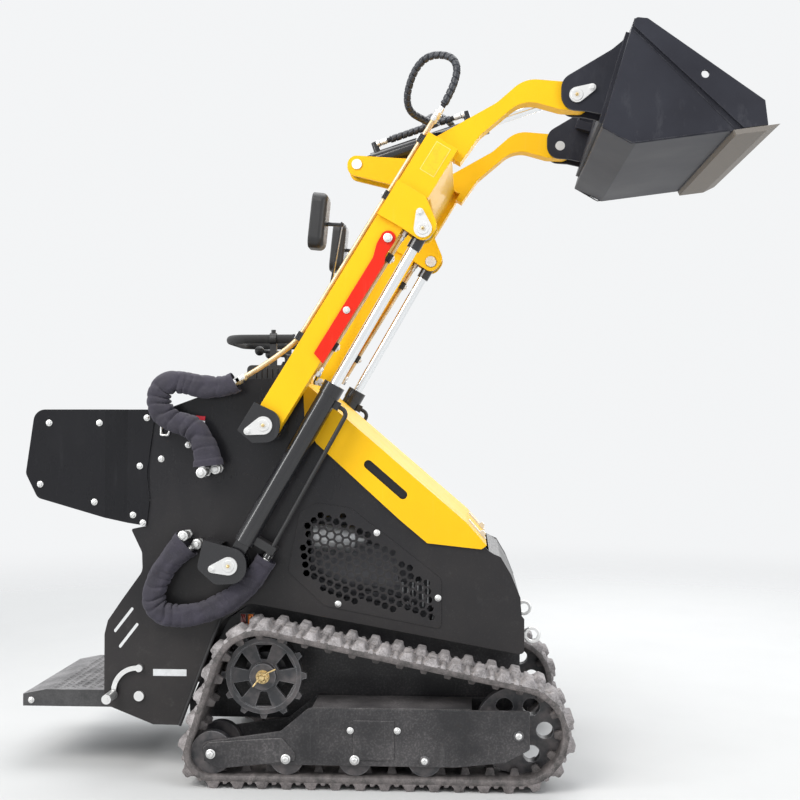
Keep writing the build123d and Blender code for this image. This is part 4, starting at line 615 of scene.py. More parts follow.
NODE_FINISHES = {
    yellow_enamel: "boom_arms lift_brackets cross_beam goosenecks tilt_horn hood",
    chassis_black: "side_plates chassis_panels grilles",
    panel_black: "wings",
    black_enamel: (
        "pivot_mounts lift_barrel_right lift_barrel_left tilt_barrel lift_rod_eye_right "
        "lift_rod_eye_left tilt_rod_eye mirror_bars"
    ),
    bucket_black: "bucket side_cutters attach_frame attach_locks",
    undercarriage_black: "track_frames chassis_tub drive_motors",
    plate_tread: "platform",
    red_enamel: "boom_prop_right boom_prop_left",
    hard_chrome: "lift_rod_right lift_rod_left tilt_rod",
    zinc: (
        "pivot_pins boom_pins attach_pins platform_pins hood_hinges hood_latches tie_down_eyes "
        "hose_elbows foot_levers"
    ),
    passivated_pipe: "boom_pipes",
    wheel_black: "drive_sprockets track_wheels",
    worn_steel: "cutting_edge",
    tread_rubber: "track_right track_left",
    cast_grey: "engine",
    moulded_plastic: "console_housing mirror_shells control_levers barrel_line_right barrel_line_left",
    bar_foam: "handlebar",
    silvered_glass: "mirror_glasses",
    hose_rubber: "upper_hoses lower_hoses boom_hoses",
}


class LOADER_OT_finishes(bpy.types.Operator):
    """Give every part of the construction model its finish"""

    bl_idname = "loader.finishes"
    bl_label = "Finishes"

    def execute(self, context):
        finished = set()
        for finish, names in NODE_FINISHES.items():
            for name in names.split():
                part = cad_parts[name]
                part.data.materials.clear()
                part.data.materials.append(made(finish))
                finished.add(name)
        missing = set(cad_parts) - finished
        if missing:
            raise RuntimeError(f"parts without a finish: {sorted(missing)}")
        return {"FINISHED"}


# Places

SIDES = (("right", -1), ("left", 1))


def both(distance):
    """The same distance to the machine's right and left."""
    return -distance, distance


def moved(x, y, z):
    return Matrix.Translation((x, y, z))


def circle(sides):
    """The cosine and sine of even angles round a circle."""
    angles = [2 * math.pi * k / sides for k in range(sides)]
    return [(math.cos(a), math.sin(a)) for a in angles]


def along(angle):
    """The forward and upward parts of a direction at an angle in degrees."""
    return math.cos(math.radians(angle)), math.sin(math.radians(angle))


def place(origin, angle, s, t):
    """Point s along an axis at an angle from origin, and t to its right."""
    c, d = along(angle)
    x, z = origin
    return x + s * c + t * d, z + s * d - t * c


def on_arm(s, t, y):
    x, z = place(PIVOT, ARM_ANGLE, s, t)
    return x, y, z


def both_sides(spots):
    """Places on the right and their twins on the left."""
    return [*spots, *[(x, -y, z) for x, y, z in spots]]


def outward(x, y, z):
    """A frame on the machine's side: Z away from the middle, X forward."""
    side = math.copysign(1.0, y)
    axes = Matrix(((1, 0, 0), (0, 0, side), (0, -side, 0)))
    return moved(x, y, z) @ axes.to_4x4()


def on_face(corners, y):
    """Rows of x and z in the frame that outward(0, y, 0) gives."""
    return [(x, z * math.copysign(1, -y)) for x, z in corners]


def aimed(origin, direction):
    """A frame with its Z axis in a direction."""
    turn = Vector(direction).to_track_quat("Z", "X")
    return Matrix.Translation(origin) @ turn.to_matrix().to_4x4()


def shrunk(corners, inset):
    """An outline moved inwards by a distance."""
    spots = [Vector(corner[:2]) for corner in corners]
    area = sum(a.x * b.y - b.x * a.y for a, b in zip(spots, spots[1:] + spots[:1]))
    turn = math.copysign(1.0, area)
    inner = []
    for i, spot in enumerate(spots):
        before = (spot - spots[i - 1]).normalized()
        after = (spots[(i + 1) % len(spots)] - spot).normalized()
        first = Vector((-before.y, before.x)) * turn
        second = Vector((-after.y, after.x)) * turn
        inner.append(spot + (first + second) * (inset / (1 + first.dot(second))))
    return inner


def rounded(corners, radius, steps=4):
    """An outline whose corners are rounded."""
    spots = [Vector(corner) for corner in corners]
    result = []
    for i, spot in enumerate(spots):
        back = (spots[i - 1] - spot).normalized()
        onward = (spots[(i + 1) % len(spots)] - spot).normalized()
        half = back.angle(onward) / 2
        cut = radius / math.tan(half)
        centre = spot + (back + onward).normalized() * (radius / math.sin(half))
        start = spot + back * cut - centre
        end = spot + onward * cut - centre
        for k in range(steps + 1):
            result.append(centre + start.slerp(end, k / steps))
    return result


def hexagon(radius):
    return [(radius * c, radius * s) for c, s in circle(6)]


def smooth_route(points, step):
    """Even points along the smooth line of a route."""
    curve = bpy.data.curves.new("route", "CURVE")
    curve.dimensions = "3D"
    curve.resolution_u = 24
    spline = curve.splines.new("NURBS")
    spline.points.add(len(points) - 1)
    for knot, spot in zip(spline.points, points):
        knot.co = (*spot, 1.0)
    spline.order_u = 3
    spline.use_endpoint_u = True
    holder = bpy.data.objects.new("route", curve)
    mesh = bpy.data.meshes.new_from_object(holder)
    line = [vertex.co.copy() for vertex in mesh.vertices]
    bpy.data.objects.remove(holder)
    bpy.data.curves.remove(curve)
    bpy.data.meshes.remove(mesh)
    return evenly(line, step)


def evenly(line, step):
    """A line's points again, about a step apart."""
    lengths = [0.0]
    for a, b in zip(line, line[1:]):
        lengths.append(lengths[-1] + (b - a).length)
    count = max(2, round(lengths[-1] / step))
    spots = []
    i = 0
    for k in range(count + 1):
        distance = lengths[-1] * k / count
        while i < len(line) - 2 and lengths[i + 1] < distance:
            i += 1
        share = (distance - lengths[i]) / max(lengths[i + 1] - lengths[i], 1e-9)
        spots.append(line[i].lerp(line[i + 1], share))
    return spots


def cross_axes(points, side=None):
    """At each point of a path, two directions square to it that turn as little as they can."""
    last = len(points) - 1
    axes = []
    for i in range(last + 1):
        tangent = (points[min(i + 1, last)] - points[max(i - 1, 0)]).normalized()
        side = side or tangent.orthogonal()
        side = (side - tangent * side.dot(tangent)).normalized()
        axes.append((side, tangent.cross(side)))
    return axes


# Mesh tools

def rectangle(width, height):
    x, y = width / 2, height / 2
    return [(-x, -y), (x, -y), (x, y), (-x, y)]


class Form:
    """A mesh in the making, in millimetres."""

    def __init__(self):
        self.mesh = bmesh.new()
        self.finish = 0

    def skin(self, rings, looped=False):
        """Faces over rings of points that follow one another, with caps unless they are looped."""
        rows = [[self.mesh.verts.new(point) for point in ring] for ring in rings]
        faces = []
        for i in range(len(rows) if looped else len(rows) - 1):
            near, far = rows[i], rows[(i + 1) % len(rows)]
            for k in range(len(near)):
                n = (k + 1) % len(near)
                faces.append(self.mesh.faces.new((near[k], near[n], far[n], far[k])))
        if not looped:
            faces.append(self.mesh.faces.new(rows[0][::-1]))
            faces.append(self.mesh.faces.new(rows[-1]))
        for face in faces:
            face.material_index = self.finish
        return faces

    def lathe(self, where, profile, sides=18):
        """A turned shape: rows of radius and height along a frame's Z axis."""
        rings = []
        for radius, height in profile:
            rings.append([where @ Vector((radius * c, radius * s, height)) for c, s in circle(sides)])
        return self.skin(rings)

    def prism(self, where, corners, levels):
        """An outline raised through rows of height and inset."""
        rings = []
        for height, inset in levels:
            rings.append([where @ Vector((*spot, height)) for spot in shrunk(corners, inset)])
        return self.skin(rings)

    def block(self, where, size, soft=0.8):
        """A box with its base on a frame's origin and softened top edges."""
        width, depth, height = size
        return self.prism(where, rectangle(width, depth), [(0, 0), (height - soft, 0), (height, soft)])

    def tube(self, points, radius, sides=12):
        """A round skin along points; radius is a number, or gives one at each point."""
        rings = []
        for i, (point, (side, up)) in enumerate(zip(points, cross_axes(points))):
            r = radius(i) if callable(radius) else radius
            rings.append([point + side * (r * c) + up * (r * s) for c, s in circle(sides)])
        return self.skin(rings)

    def bead(self, points, width):
        """A rippled weld bead along points."""
        line = evenly([Vector(p) for p in points], 2.0)
        phase = line[0].x + line[0].z

        def radius(i):
            wobble = noise.noise(line[i] * 0.11 + Vector((phase, 0, 0)))
            return width * (0.82 + 0.16 * math.cos(i * 1.9) + 0.22 * wobble)

        self.tube(line, radius, 8)

    def piece(self, name, body, slot, *finishes, turn=35.0):
        """The mesh as a piece with its finishes, riding on a body unless that is None."""
        bmesh.ops.scale(self.mesh, vec=(MM, MM, MM), verts=self.mesh.verts)
        bmesh.ops.recalc_face_normals(self.mesh, faces=self.mesh.faces)
        mesh = bpy.data.meshes.new(name)
        self.mesh.to_mesh(mesh)
        self.mesh.free()
        for finish in finishes:
            mesh.materials.append(made(finish))
        mesh.shade_smooth()
        mesh.set_sharp_from_angle(angle=math.radians(turn))
        made_piece = bpy.data.objects.new(name, mesh)
        bpy.context.scene.collection.objects.link(made_piece)
        if body:
            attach(made_piece, body)
        return made_piece


# Fasteners

FLANGE_BOLT = [
    (9.5, 0.0), (9.5, 1.4), (8.9, 1.9), (7.0, 2.2), (6.8, 4.6),
    (5.6, 6.2), (3.8, 6.9), (3.1, 6.9), (3.0, 4.4), (0.6, 4.2),
]
WHEEL_BOLT = [
    (13.5, 0.0), (13.5, 2.0), (12.8, 2.6), (10.4, 3.0), (10.0, 6.5), (8.2, 9.2), (5.2, 10.4), (4.2, 10.4),
    (4.0, 6.0), (0.8, 5.8),
]
WASHER = [(13.0, 0.0), (13.0, 1.6), (12.4, 2.0), (5.0, 2.1)]
NIPPLE = [(5.0, 0.0), (5.0, 3.0), (2.4, 3.6), (2.4, 6.5), (3.3, 7.6), (3.0, 9.4), (1.2, 10.6)]
LIFT_PIN_END = [(19.2, 0), (19.2, 17), (17.6, 19), (7, 19), (6.4, 17.8), (1, 17.8)]
PIN_END = [(17.5, 0.0), (17.5, 1.6), (16.5, 2.6), (9.0, 2.6), (8.4, 1.8), (1.0, 1.8)]


def add_hex_bolt(form, where, size=1.0):
    form.lathe(where, [(radius * size, height) for radius, height in WASHER])
    form.prism(where, hexagon(9.4 * size), [(2.0 * size, 0), (7.6 * size, 0), (8.8 * size, 1.3 * size)])


# Each body's pins: place, angle of the retaining flag, distance of its face from the middle plane
PINS = {
    "frame": [(PIVOT, 200, PIN_FACE_Y), (LIFT_BASE, 190, PIN_FACE_Y)],
    "boom": [(LIFT_PIN, 100, PIN_FACE_Y)],
    "bucket": [(BUCKET_PIN, 25, BUCKET_PIN_FACE_Y)],
}
FLAG_REACH = 48.0

# Along, across and out from an arm
BRACKET_BOLT = (645, 21, 389)
PROP_BOLT = (407, 28, 382)

PLATFORM_BOLTS = [(-1074, -262, 199)]
FRAME_BOLTS = [
    (-1001, -325, 1030), (-850, -325, 1030), (-1027, -325, 849), (-864, -325, 797),
    (-716, -295, 1045), (-737, -295, 902), (-757, -295, 757), (-727, -295, 734),
    (-674, -290, 923), (-593, -290, 965),
    (-32, -293, 708), (147, -293, 519), (-146, -293, 499),
    (-95, -443, 169), (37, -443, 170),
]
WHEEL_BOLTS = [(-490, -444, 98), (-277, -444, 87), (-83, -443, 87), (113, -440, 87), (375, -440, 160)]


class LOADER_OT_bolts(bpy.types.Operator):
    """Add the bolts, pin ends and grease nipples to every body"""

    bl_idname = "loader.bolts"
    bl_label = "Bolts"

    def execute(self, context):
        form = Form()
        for spot in both_sides(FRAME_BOLTS):
            form.lathe(outward(*spot), FLANGE_BOLT)
        for spot in both_sides(WHEEL_BOLTS):
            form.lathe(outward(*spot), WHEEL_BOLT, 24)
        self.flags(form, "frame")
        form = Form()
        along_arm, across_arm, face = BRACKET_BOLT
        for y in both(face):
            add_hex_bolt(form, outward(*on_arm(along_arm, across_arm, y)))
        self.flags(form, "boom")
        self.flags(Form(), "bucket")
        form = Form()
        for _, side in SIDES:
            inward = aimed((LIFT_PIN[0], side * LIFT_PIN_INNER_Y, LIFT_PIN[1]), (0, -side, 0))
            form.lathe(inward, LIFT_PIN_END, 28)
        form.piece("lift_pin_ends", "boom", "zinc", zinc)
        along_arm, across_arm, face = PROP_BOLT
        for name, side in SIDES:
            form = Form()
            add_hex_bolt(form, outward(*on_arm(along_arm, across_arm, side * face)), 0.8)
            form.piece(f"prop_bolt_{name}", f"boom_prop_{name}", "zinc", zinc)
        form = Form()
        for spot in both_sides(PLATFORM_BOLTS):
            form.lathe(outward(*spot), FLANGE_BOLT)
        form.piece("platform_bolts", "platform", "zinc", zinc)
        return {"FINISHED"}

    def flags(self, form, body):
        """Bolt the retaining flags of a body's pins, and end each pin in a grease nipple."""
        for (x, z), angle, face in PINS[body]:
            c, d = along(angle)
            for y in both(face):
                add_hex_bolt(form, outward(x + FLAG_REACH * c, y, z + FLAG_REACH * d), 0.78)
                form.lathe(outward(x, y, z), PIN_END, 28)
        form.piece(f"{body}_bolts", body, "zinc", zinc)
        form = Form()
        for (x, z), _, face in PINS[body]:
            for y in both(face):
                form.lathe(outward(x, y + math.copysign(1.8, y), z), NIPPLE)
        form.piece(f"{body}_nipples", body, "zinc", brass)


# Tracks

TRACK_CIRCLES = [(-490.0, 98.0, 60.0), (375.0, 160.0, 122.0), (-352.0, 304.0, 126.0)]
BELT_HALF = 10.0
BELT_STEPS = 8
ARC_STEPS = 24
LOOP_STEP = 4.0
TRACK_Y = 355.0
TRACK_HALF_WIDTH = 90.0


class Loop:
    """The middle line of a track's belt, smooth round its wheels."""

    def __init__(self):
        count = len(TRACK_CIRCLES)
        leaving = []
        for i in range(count):
            x0, z0, r0 = TRACK_CIRCLES[i]
            x1, z1, r1 = TRACK_CIRCLES[(i + 1) % count]
            way = math.atan2(z1 - z0, x1 - x0)
            leaving.append(way - math.acos((r0 - r1) / math.hypot(x1 - x0, z1 - z0)))
        line = []
        for i, (x, z, r) in enumerate(TRACK_CIRCLES):
            start = leaving[i - 1]
            turn = (leaving[i] - start) % (2 * math.pi)
            reach = r + BELT_HALF
            for k in range(ARC_STEPS + 1):
                a = start + turn * k / ARC_STEPS
                line.append(Vector((x + reach * math.cos(a), 0.0, z + reach * math.sin(a))))
        line.append(line[0])
        self.spots = evenly(line, LOOP_STEP)[:-1]

    def station(self, share):
        """Place, direction and outward normal at a share of the way round."""
        count = len(self.spots)
        at = (share % 1.0) * count
        i = int(at)
        a, b = self.spots[i % count], self.spots[(i + 1) % count]
        before, after = self.spots[(i - 2) % count], self.spots[(i + 3) % count]
        onward = (after - before).normalized()
        return a.lerp(b, at - i), onward, Vector((onward.z, 0.0, -onward.x))


# A lug's outline: shares of its half width across the belt and of its half length along it
LUG_OUTLINE = [(-1, -0.8), (-0.9, -1), (0.9, -1), (1, -0.8), (1, 0.8), (0.9, 1), (-0.9, 1), (-1, 0.8)]

BELT_SECTION = [
    (-90, -8), (-88, -10), (-60, -10), (60, -10), (88, -10), (90, -8), (90, 6), (87, 9), (60, 10), (30, 9.2),
    (0, 10.6), (-30, 9.2), (-60, 10), (-87, 9), (-90, 6),
]

# The sides of that section which face the ground
BELT_OUTSIDE = range(6, 13)


class LOADER_OT_tracks(bpy.types.Operator):
    """Build both rubber tracks with their lugs, ribs and guide horns"""

    bl_idname = "loader.tracks"
    bl_label = "Tracks"

    def execute(self, context):
        tread = context.scene.tread_settings
        loop = Loop()
        for name, side in SIDES:
            form = Form()
            y = side * TRACK_Y
            self.belt(form, loop, y, tread.links)
            self.lugs(form, loop, y, tread)
            self.horns(form, loop, y, tread.links)
            piece = form.piece(
                f"tread_{name}", "frame", "track_rubber", tread_rubber, belt_rubber, turn=50.0
            )
            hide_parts(f"track_{name}")
        return {"FINISHED"}

    def belt(self, form, loop, y, links):
        rings = []
        stations = links * BELT_STEPS
        for k in range(stations):
            spot, _, out = loop.station(k / stations)
            swell = 0.9 * math.cos(2 * math.pi * k / 4)
            ring = []
            for across, rise in BELT_SECTION:
                height = rise + (swell if rise > 8 else 0.0)
                ring.append(spot + Vector((0, y + across, 0)) + out * height)
            rings.append(ring)
        for i, face in enumerate(form.skin(rings, looped=True)):
            face.material_index = 0 if i % len(BELT_SECTION) in BELT_OUTSIDE else 1

    def lug(self, form, loop, share, low_y, high_y, rows, seed):
        """A block across part of the belt: rows of height, half length and end inset."""
        spot, onward, out = loop.station(share)
        middle, half = (low_y + high_y) / 2, (high_y - low_y) / 2
        rings = []
        for height, half_length, inset in rows:
            ring = []
            for across, lengthwise in LUG_OUTLINE:
                point = spot + out * height + onward * (half_length * lengthwise)
                point += Vector((0, middle + across * (half - inset), 0))
                worn = noise.noise(point * 0.06 + Vector((seed, 0, 0)))
                ring.append(point + out * (worn * 0.10 * max(height - 10, 0)) + onward * worn * 1.6)
            rings.append(ring)
        form.skin(rings)

    def lugs(self, form, loop, y, tread):
        form.finish = 0
        top = BELT_HALF + tread.lug_height / MM
        root, tip = tread.lug_root / MM / 2, tread.lug_tip / MM / 2
        rows = [
            (6.0, root + 3, 0.0), (BELT_HALF + 1.5, root, 0.6), (BELT_HALF + 5, root - 3.5, 2.0),
            (top - 3.0, tip + 1.0, 4.0), (top - 0.6, tip - 1.5, 6.0), (top - 0.2, tip - 6.0, 12.0),
        ]
        ribs = [(6.0, 9.0, 0.0), (BELT_HALF + 3.5, 6.0, 2.0), (BELT_HALF + 5.0, 3.5, 5.0)]
        for k in range(tread.links):
            for phase, low, high in ((0.0, -TRACK_HALF_WIDTH, 2.0), (0.5, -2.0, TRACK_HALF_WIDTH)):
                self.lug(form, loop, (k + phase) / tread.links, y + low, y + high, rows, k)
                self.lug(form, loop, (k + phase + 0.5) / tread.links, y + low, y + high, ribs, k + 90)

    def horns(self, form, loop, y, links):
        """Two rows of guide horns inside the belt."""
        form.finish = 1
        rows = [(-8.0, 15.0, 0.0), (-14.0, 12.0, 1.0), (-26.0, 9.5, 3.0), (-29.5, 7.0, 5.0)]
        for k in range(links):
            for middle in both(33.0):
                low, high = y + middle - 10, y + middle + 10
                self.lug(form, loop, (k + 0.25) / links, low, high, rows, k + 40)


# Undercarriage

ARM_PLATE = [(-522, 120), (-500, 141), (-284, 157), (-238, 105), (-242, 71), (-467, 68), (-520, 67)]
COVER_PLATE = [(-98, 75), (39, 75), (39, 208), (-98, 208)]
TRACK_FRAME_Y = 440.0
NUT_Y = 388.0
NUT_COLLAR = [(20, 0), (20, 2.2), (19.2, 3), (10, 3)]
SHAFT_END = [(8.5, 14), (8.5, 22), (7.2, 23.4), (1.2, 23.6)]
# Each leg of the split pin: its root and its tip, off the shaft's middle
SPLIT_PIN = [((0, 4), (40, 26)), ((0, 4), (-24, -24))]


class LOADER_OT_undercarriage(bpy.types.Operator):
    """Add the rear arms, covers and sprocket nuts of the undercarriage"""

    bl_idname = "loader.undercarriage"
    bl_label = "Undercarriage"

    def execute(self, context):
        form = Form()
        nuts = Form()
        for y in both(TRACK_FRAME_Y):
            for outline, rise in ((ARM_PLATE, 4.0), (COVER_PLATE, 3.0)):
                corners = rounded(on_face(outline, y), 12)
                form.prism(outward(0, y, 0), corners, [(-1, 0), (rise - 1, 0), (rise, 1)])
            form.bead([(-205, y * 0.996, 229), (240, y * 0.996, 229)], 3.0)
            self.castle_nut(nuts, math.copysign(NUT_Y, y))
        form.piece("undercarriage_plates", "frame", "black_paint", undercarriage_black)
        nuts.piece("castle_nuts", "frame", "zinc", brass)
        return {"FINISHED"}

    def castle_nut(self, form, y):
        """A slotted nut on the sprocket's shaft, with its split pin's legs bent apart."""
        where = outward(SPROCKET[0], y, SPROCKET[1])
        form.lathe(where, NUT_COLLAR, 28)
        form.prism(where, hexagon(17.0), [(3, 0), (14.5, 0), (16, 1.6)])
        for k in range(6):
            turned = where @ Matrix.Rotation(math.radians(60 * k), 4, "Z")
            form.block(turned @ moved(12.0, 0, 15.5), (6.5, 7.5, 5.0))
        form.lathe(where, SHAFT_END)
        for leg in SPLIT_PIN:
            first, last = on_face(leg, y)
            near, far = where @ Vector((*first, 18.5)), where @ Vector((*last, 19.5))
            form.tube(evenly([near, near.lerp(far, 0.5) + Vector((0, 0, 1.5)), far], 3.0), 2.6, 8)


# Boom

# Along, across and out from an arm: where each bead starts, where it ends, and its width
ARM_BEADS = [
    ((966, -20, 341), (966, 54, 341), 4.2), ((966, -20, 285), (966, 54, 285), 4.2),
    ((690, -40, 380), (800, -40, 380), 2.6), ((690, -40, 387), (800, -40, 387), 2.6),
    ((690, 38, 380), (800, 38, 380), 3.0), ((832, -20, 324), (832, 36, 324), 4.0),
    ((834, 37, 324), (965, 37, 324), 4.0), ((834, -22, 324), (965, -22, 324), 4.0),
    ((943, 58, 338), (943, 58, 288), 3.4),
]
BUCKET_SIDE_Y = 435.0
BUCKET_EDGE = (968, 425, 1842)


class LOADER_OT_welds(bpy.types.Operator):
    """Run weld beads round the boom's and bucket's joints"""

    bl_idname = "loader.welds"
    bl_label = "Welds"

    def execute(self, context):
        form = Form()
        for _, side in SIDES:
            for first, last, width in ARM_BEADS:
                form.bead([on_arm(s, t, side * y) for s, t, y in (first, last)], width)
        form.piece("boom_welds", "boom", "yellow_paint", yellow_weld)
        form = Form()
        for y in both(BUCKET_SIDE_Y):
            form.bead([(700, y, 2130), (978, y, 1848)], 2.6)
            form.bead([(612, y, 1858), (690, y, 1812), (960, y, 1846)], 2.4)
        x, half, z = BUCKET_EDGE
        form.bead([(x, y, z) for y in both(half)], 2.6)
        form.piece("bucket_welds", "bucket", "black_paint", bucket_black)
        return {"FINISHED"}


PIPE_RADIUS = 6.0
# How far a fitting reaches past its pipe's end and back over it
FITTING_PAST = 26.0
FITTING_OVER = 4.0
PIPE_START = (-415.0, 1163.0)
PIPE_BEND = (-361.0, 1193.0)
PIPE_REAR = -ARM_HALF_DEPTH - PIPE_OFF
PIPE_FRONT = ARM_HALF_DEPTH + PIPE_OFF
PIPE_CLAMPS = [(272, PIPE_REAR), (749, PIPE_REAR), (940, PIPE_REAR), (300, PIPE_FRONT), (600, PIPE_FRONT)]


def hex_fitting(form, tip, base, slim=1.0):
    """A swivel nut and a hexagonal shoulder, from a fitting's tip to its base on the pipe."""
    tip, base = Vector(tip), Vector(base)
    length = (base - tip).length
    where = aimed(tip, base - tip)
    form.prism(where, hexagon(11.5 * slim), [(0, 1.2), (1.2, 0), (length * 0.48, 0), (length * 0.52, 1.2)])
    form.lathe(where, [(8 * slim, length * 0.5), (8 * slim, length * 0.62), (9.4 * slim, length * 0.64),
                       (9.4 * slim, length * 0.92), (7.2 * slim, length + 1)])


class LOADER_OT_pipes(bpy.types.Operator):
    """Build the boom's hydraulic pipes, their fittings and clamps"""

    bl_idname = "loader.pipes"
    bl_label = "Pipes"

    def execute(self, context):
        form = Form()
        rear = [place(PIVOT, ARM_ANGLE, s, PIPE_REAR) for s in (255, 300, 900, ARM_LENGTH + 40)]
        front = [place(PIVOT, ARM_ANGLE, s, PIPE_FRONT) for s in (225, 665)]
        for _, side in SIDES:
            for spread in both(PIPE_SPREAD):
                self.pipe(form, side * (ARM_CENTRE_Y + spread), [PIPE_START, PIPE_BEND, *rear], 1.0)
            self.pipe(form, side * ARM_CENTRE_Y, front, 0.8)
            self.clamps(form, side)
        piece = form.piece("pipes_on_boom", "boom", "zinc", passivated_pipe, zinc, moulded_plastic)
        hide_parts("boom_pipes")
        return {"FINISHED"}

    def pipe(self, form, y, spots, slim):
        line = [(x, y, z) for x, z in spots]
        form.finish = 0
        form.tube(smooth_route(line, 6.0), PIPE_RADIUS, 14)
        form.finish = 1
        for end, onward in ((line[0], line[1]), (line[-1], line[-2])):
            away = (Vector(end) - Vector(onward)).normalized()
            hex_fitting(form, Vector(end) + away * FITTING_PAST, Vector(end) - away * FITTING_OVER, slim)

    def clamps(self, form, side):
        """Ribbed clamp halves round the pipes, with a cover plate and its bolt."""
        c, d = along(ARM_ANGLE)
        for s, t in PIPE_CLAMPS:
            front = t > 0
            out = Vector((d, 0, -c)) if front else Vector((-d, 0, c))
            x, _, z = on_arm(s, math.copysign(ARM_HALF_DEPTH, t), 0)
            up = Vector((c, 0, d))
            axes = Matrix((up, out.cross(up), out)).transposed().to_4x4()
            where = moved(x, side * ARM_CENTRE_Y, z) @ axes
            width = 22.0 if front else 46.0
            form.finish = 2
            form.block(where, (26.0, width, 8.8), 0.6)
            form.block(where @ moved(0, 0, 9.6), (26.0, width, 8.0), 1.2)
            form.finish = 1
            form.block(where @ moved(0, 0, 17.4), (24.0, width - 4, 2.2), 0.6)
            add_hex_bolt(form, where @ moved(0, 0, 19.4), 0.62)


# Hoses

# Each pair's two distances from the middle plane, ports, corners and end, its blend's start, its folds' seed
SIDE_RUNS = {
    "upper": (
        (363, 337), [(-534.8, 904.0), (-504.3, 913.5)],
        [(-528, 1010), (-668, 1046), (-660, 1166), (-488.4, 1122.2)],
        (-437.7, 1150.4), (-519, 909), 0.4,
    ),
    "lower": (
        (350, 326), [(-603.3, 688.0), (-571.6, 665.5)], [(-690, 580), (-672, 448), (-426.8, 502.0)],
        (-348.7, 637.1), (-588, 677), 2.1,
    ),
}


def ferrule(form, tip, onward):
    """A crimped ferrule on a hose's end, with its nut behind it."""
    where = aimed(tip, Vector(onward) - Vector(tip))
    rows = [(8.4, -2), (8.8, -1)]
    for k in range(5):
        rows += [(9.6, 1 + 4 * k), (9.6, 3 + 4 * k), (8.9, 3.6 + 4 * k)]
    form.lathe(where, [*rows, (8.0, 22.0)], 20)
    form.prism(where, hexagon(11.5), [(-14, 1), (-13, 0), (-3, 0), (-2, 1)])


PORT_HEAD = [
    (9.0, 0.0), (14.6, 1.4), (15.4, 4.0), (15.4, 20.0), (14.4, 22.6), (11.6, 23.8), (11.2, 22.8), (9.4, 22.8),
    (9.2, 26.4), (7.6, 28.4), (4.0, 29.2), (0.6, 29.3),
]
PORT_SETBACK = 13.0
PORT_HOLES = {
    "upper": ((-536.0, 886.0), (-500.0, 896.0)),
    "lower": ((-592.0, 702.0), (-557.0, 676.0)),
}


class Sleeve:
    """A gathered cloth sleeve over a pair of hoses."""

    def __init__(self, spots, y, seed):
        self.line = smooth_route([(x, y, z) for x, z in spots], 3.0)
        self.seed = seed
        self.length = sum((b - a).length for a, b in zip(self.line, self.line[1:]))

    def bend(self, i, reach=8):
        """How sharply the line turns at a point, and to which side."""
        a, b, c = self.line[max(i - reach, 0)], self.line[i], self.line[min(i + reach, len(self.line) - 1)]
        if (b - a).length < 1e-6 or (c - b).length < 1e-6:
            return 0.0
        return (b - a).normalized().cross((c - b).normalized()).y

    def ring(self, i, inset, sides=48):
        settings = hoses()
        width, depth = settings.sleeve_width / MM / 2, settings.sleeve_depth / MM / 2
        hem = settings.hem / MM
        axes = self.axes[i]
        done = self.length * i / (len(self.line) - 1)
        left = self.length - done
        near = min(done, left)
        # wider at the ports' mouth, narrower at the other end
        width += 10.0 * max(0.0, 1.0 - done / 80.0) - 4.0 * max(0.0, 1.0 - left / 90.0)
        hemmed = 2.2 if near < hem else 0.0
        groove = -0.9 if abs(near - hem) < 2.5 else 0.0
        calm = min(1.0, max(0.0, (near - hem) / 40.0))
        bend = self.bend(i)
        turned = min(1.0, abs(bend) * 3.0)
        drift = noise.noise(Vector((self.seed, done / 55.0, 0.0)))
        ring = []
        for k in range(sides):
            a = 2 * math.pi * k / sides
            inner = 0.5 - 0.5 * math.cos(a) * math.copysign(1.0, bend)
            slanted_by = 0.8 * math.sin(a) + 0.5 * math.sin(2 * a + self.seed)
            crease = (1.0 - abs(math.sin(math.pi * done / 30.0 + 2.6 * drift + slanted_by))) ** 2.4
            swirl = Vector((math.cos(a) * 1.5, math.sin(a) * 1.5, done / 62.0 + self.seed))
            drape = noise.noise(swirl) * 4.2 + noise.noise(swirl * 2.6) * 1.6
            gather = 2.4 - crease * (8.0 * inner + 4.0)
            fold = (gather * (turned * 0.8 + 0.2) + drape) * calm
            rise = fold + hemmed + groove - inset + noise.noise(swirl * 7.0) * 0.5
            full = 1.0 + 0.12 * math.sin(2 * a) ** 2
            across = axes[0] * math.sin(a) * (depth * full + rise * 0.8)
            ring.append(self.line[i] + across + axes[1] * math.cos(a) * (width * full + rise))
        return ring

    def skin(self, form):
        """The cloth's outside, then its inside, joined at both mouths."""
        self.axes = cross_axes(self.line, Vector((0, 1, 0)))
        wall = hoses().sleeve_wall / MM
        count = len(self.line)
        outside = [self.ring(i, 0.0) for i in range(count)]
        inside = [self.ring(i, wall) for i in reversed(range(count))]
        form.skin(outside + inside, looped=True)


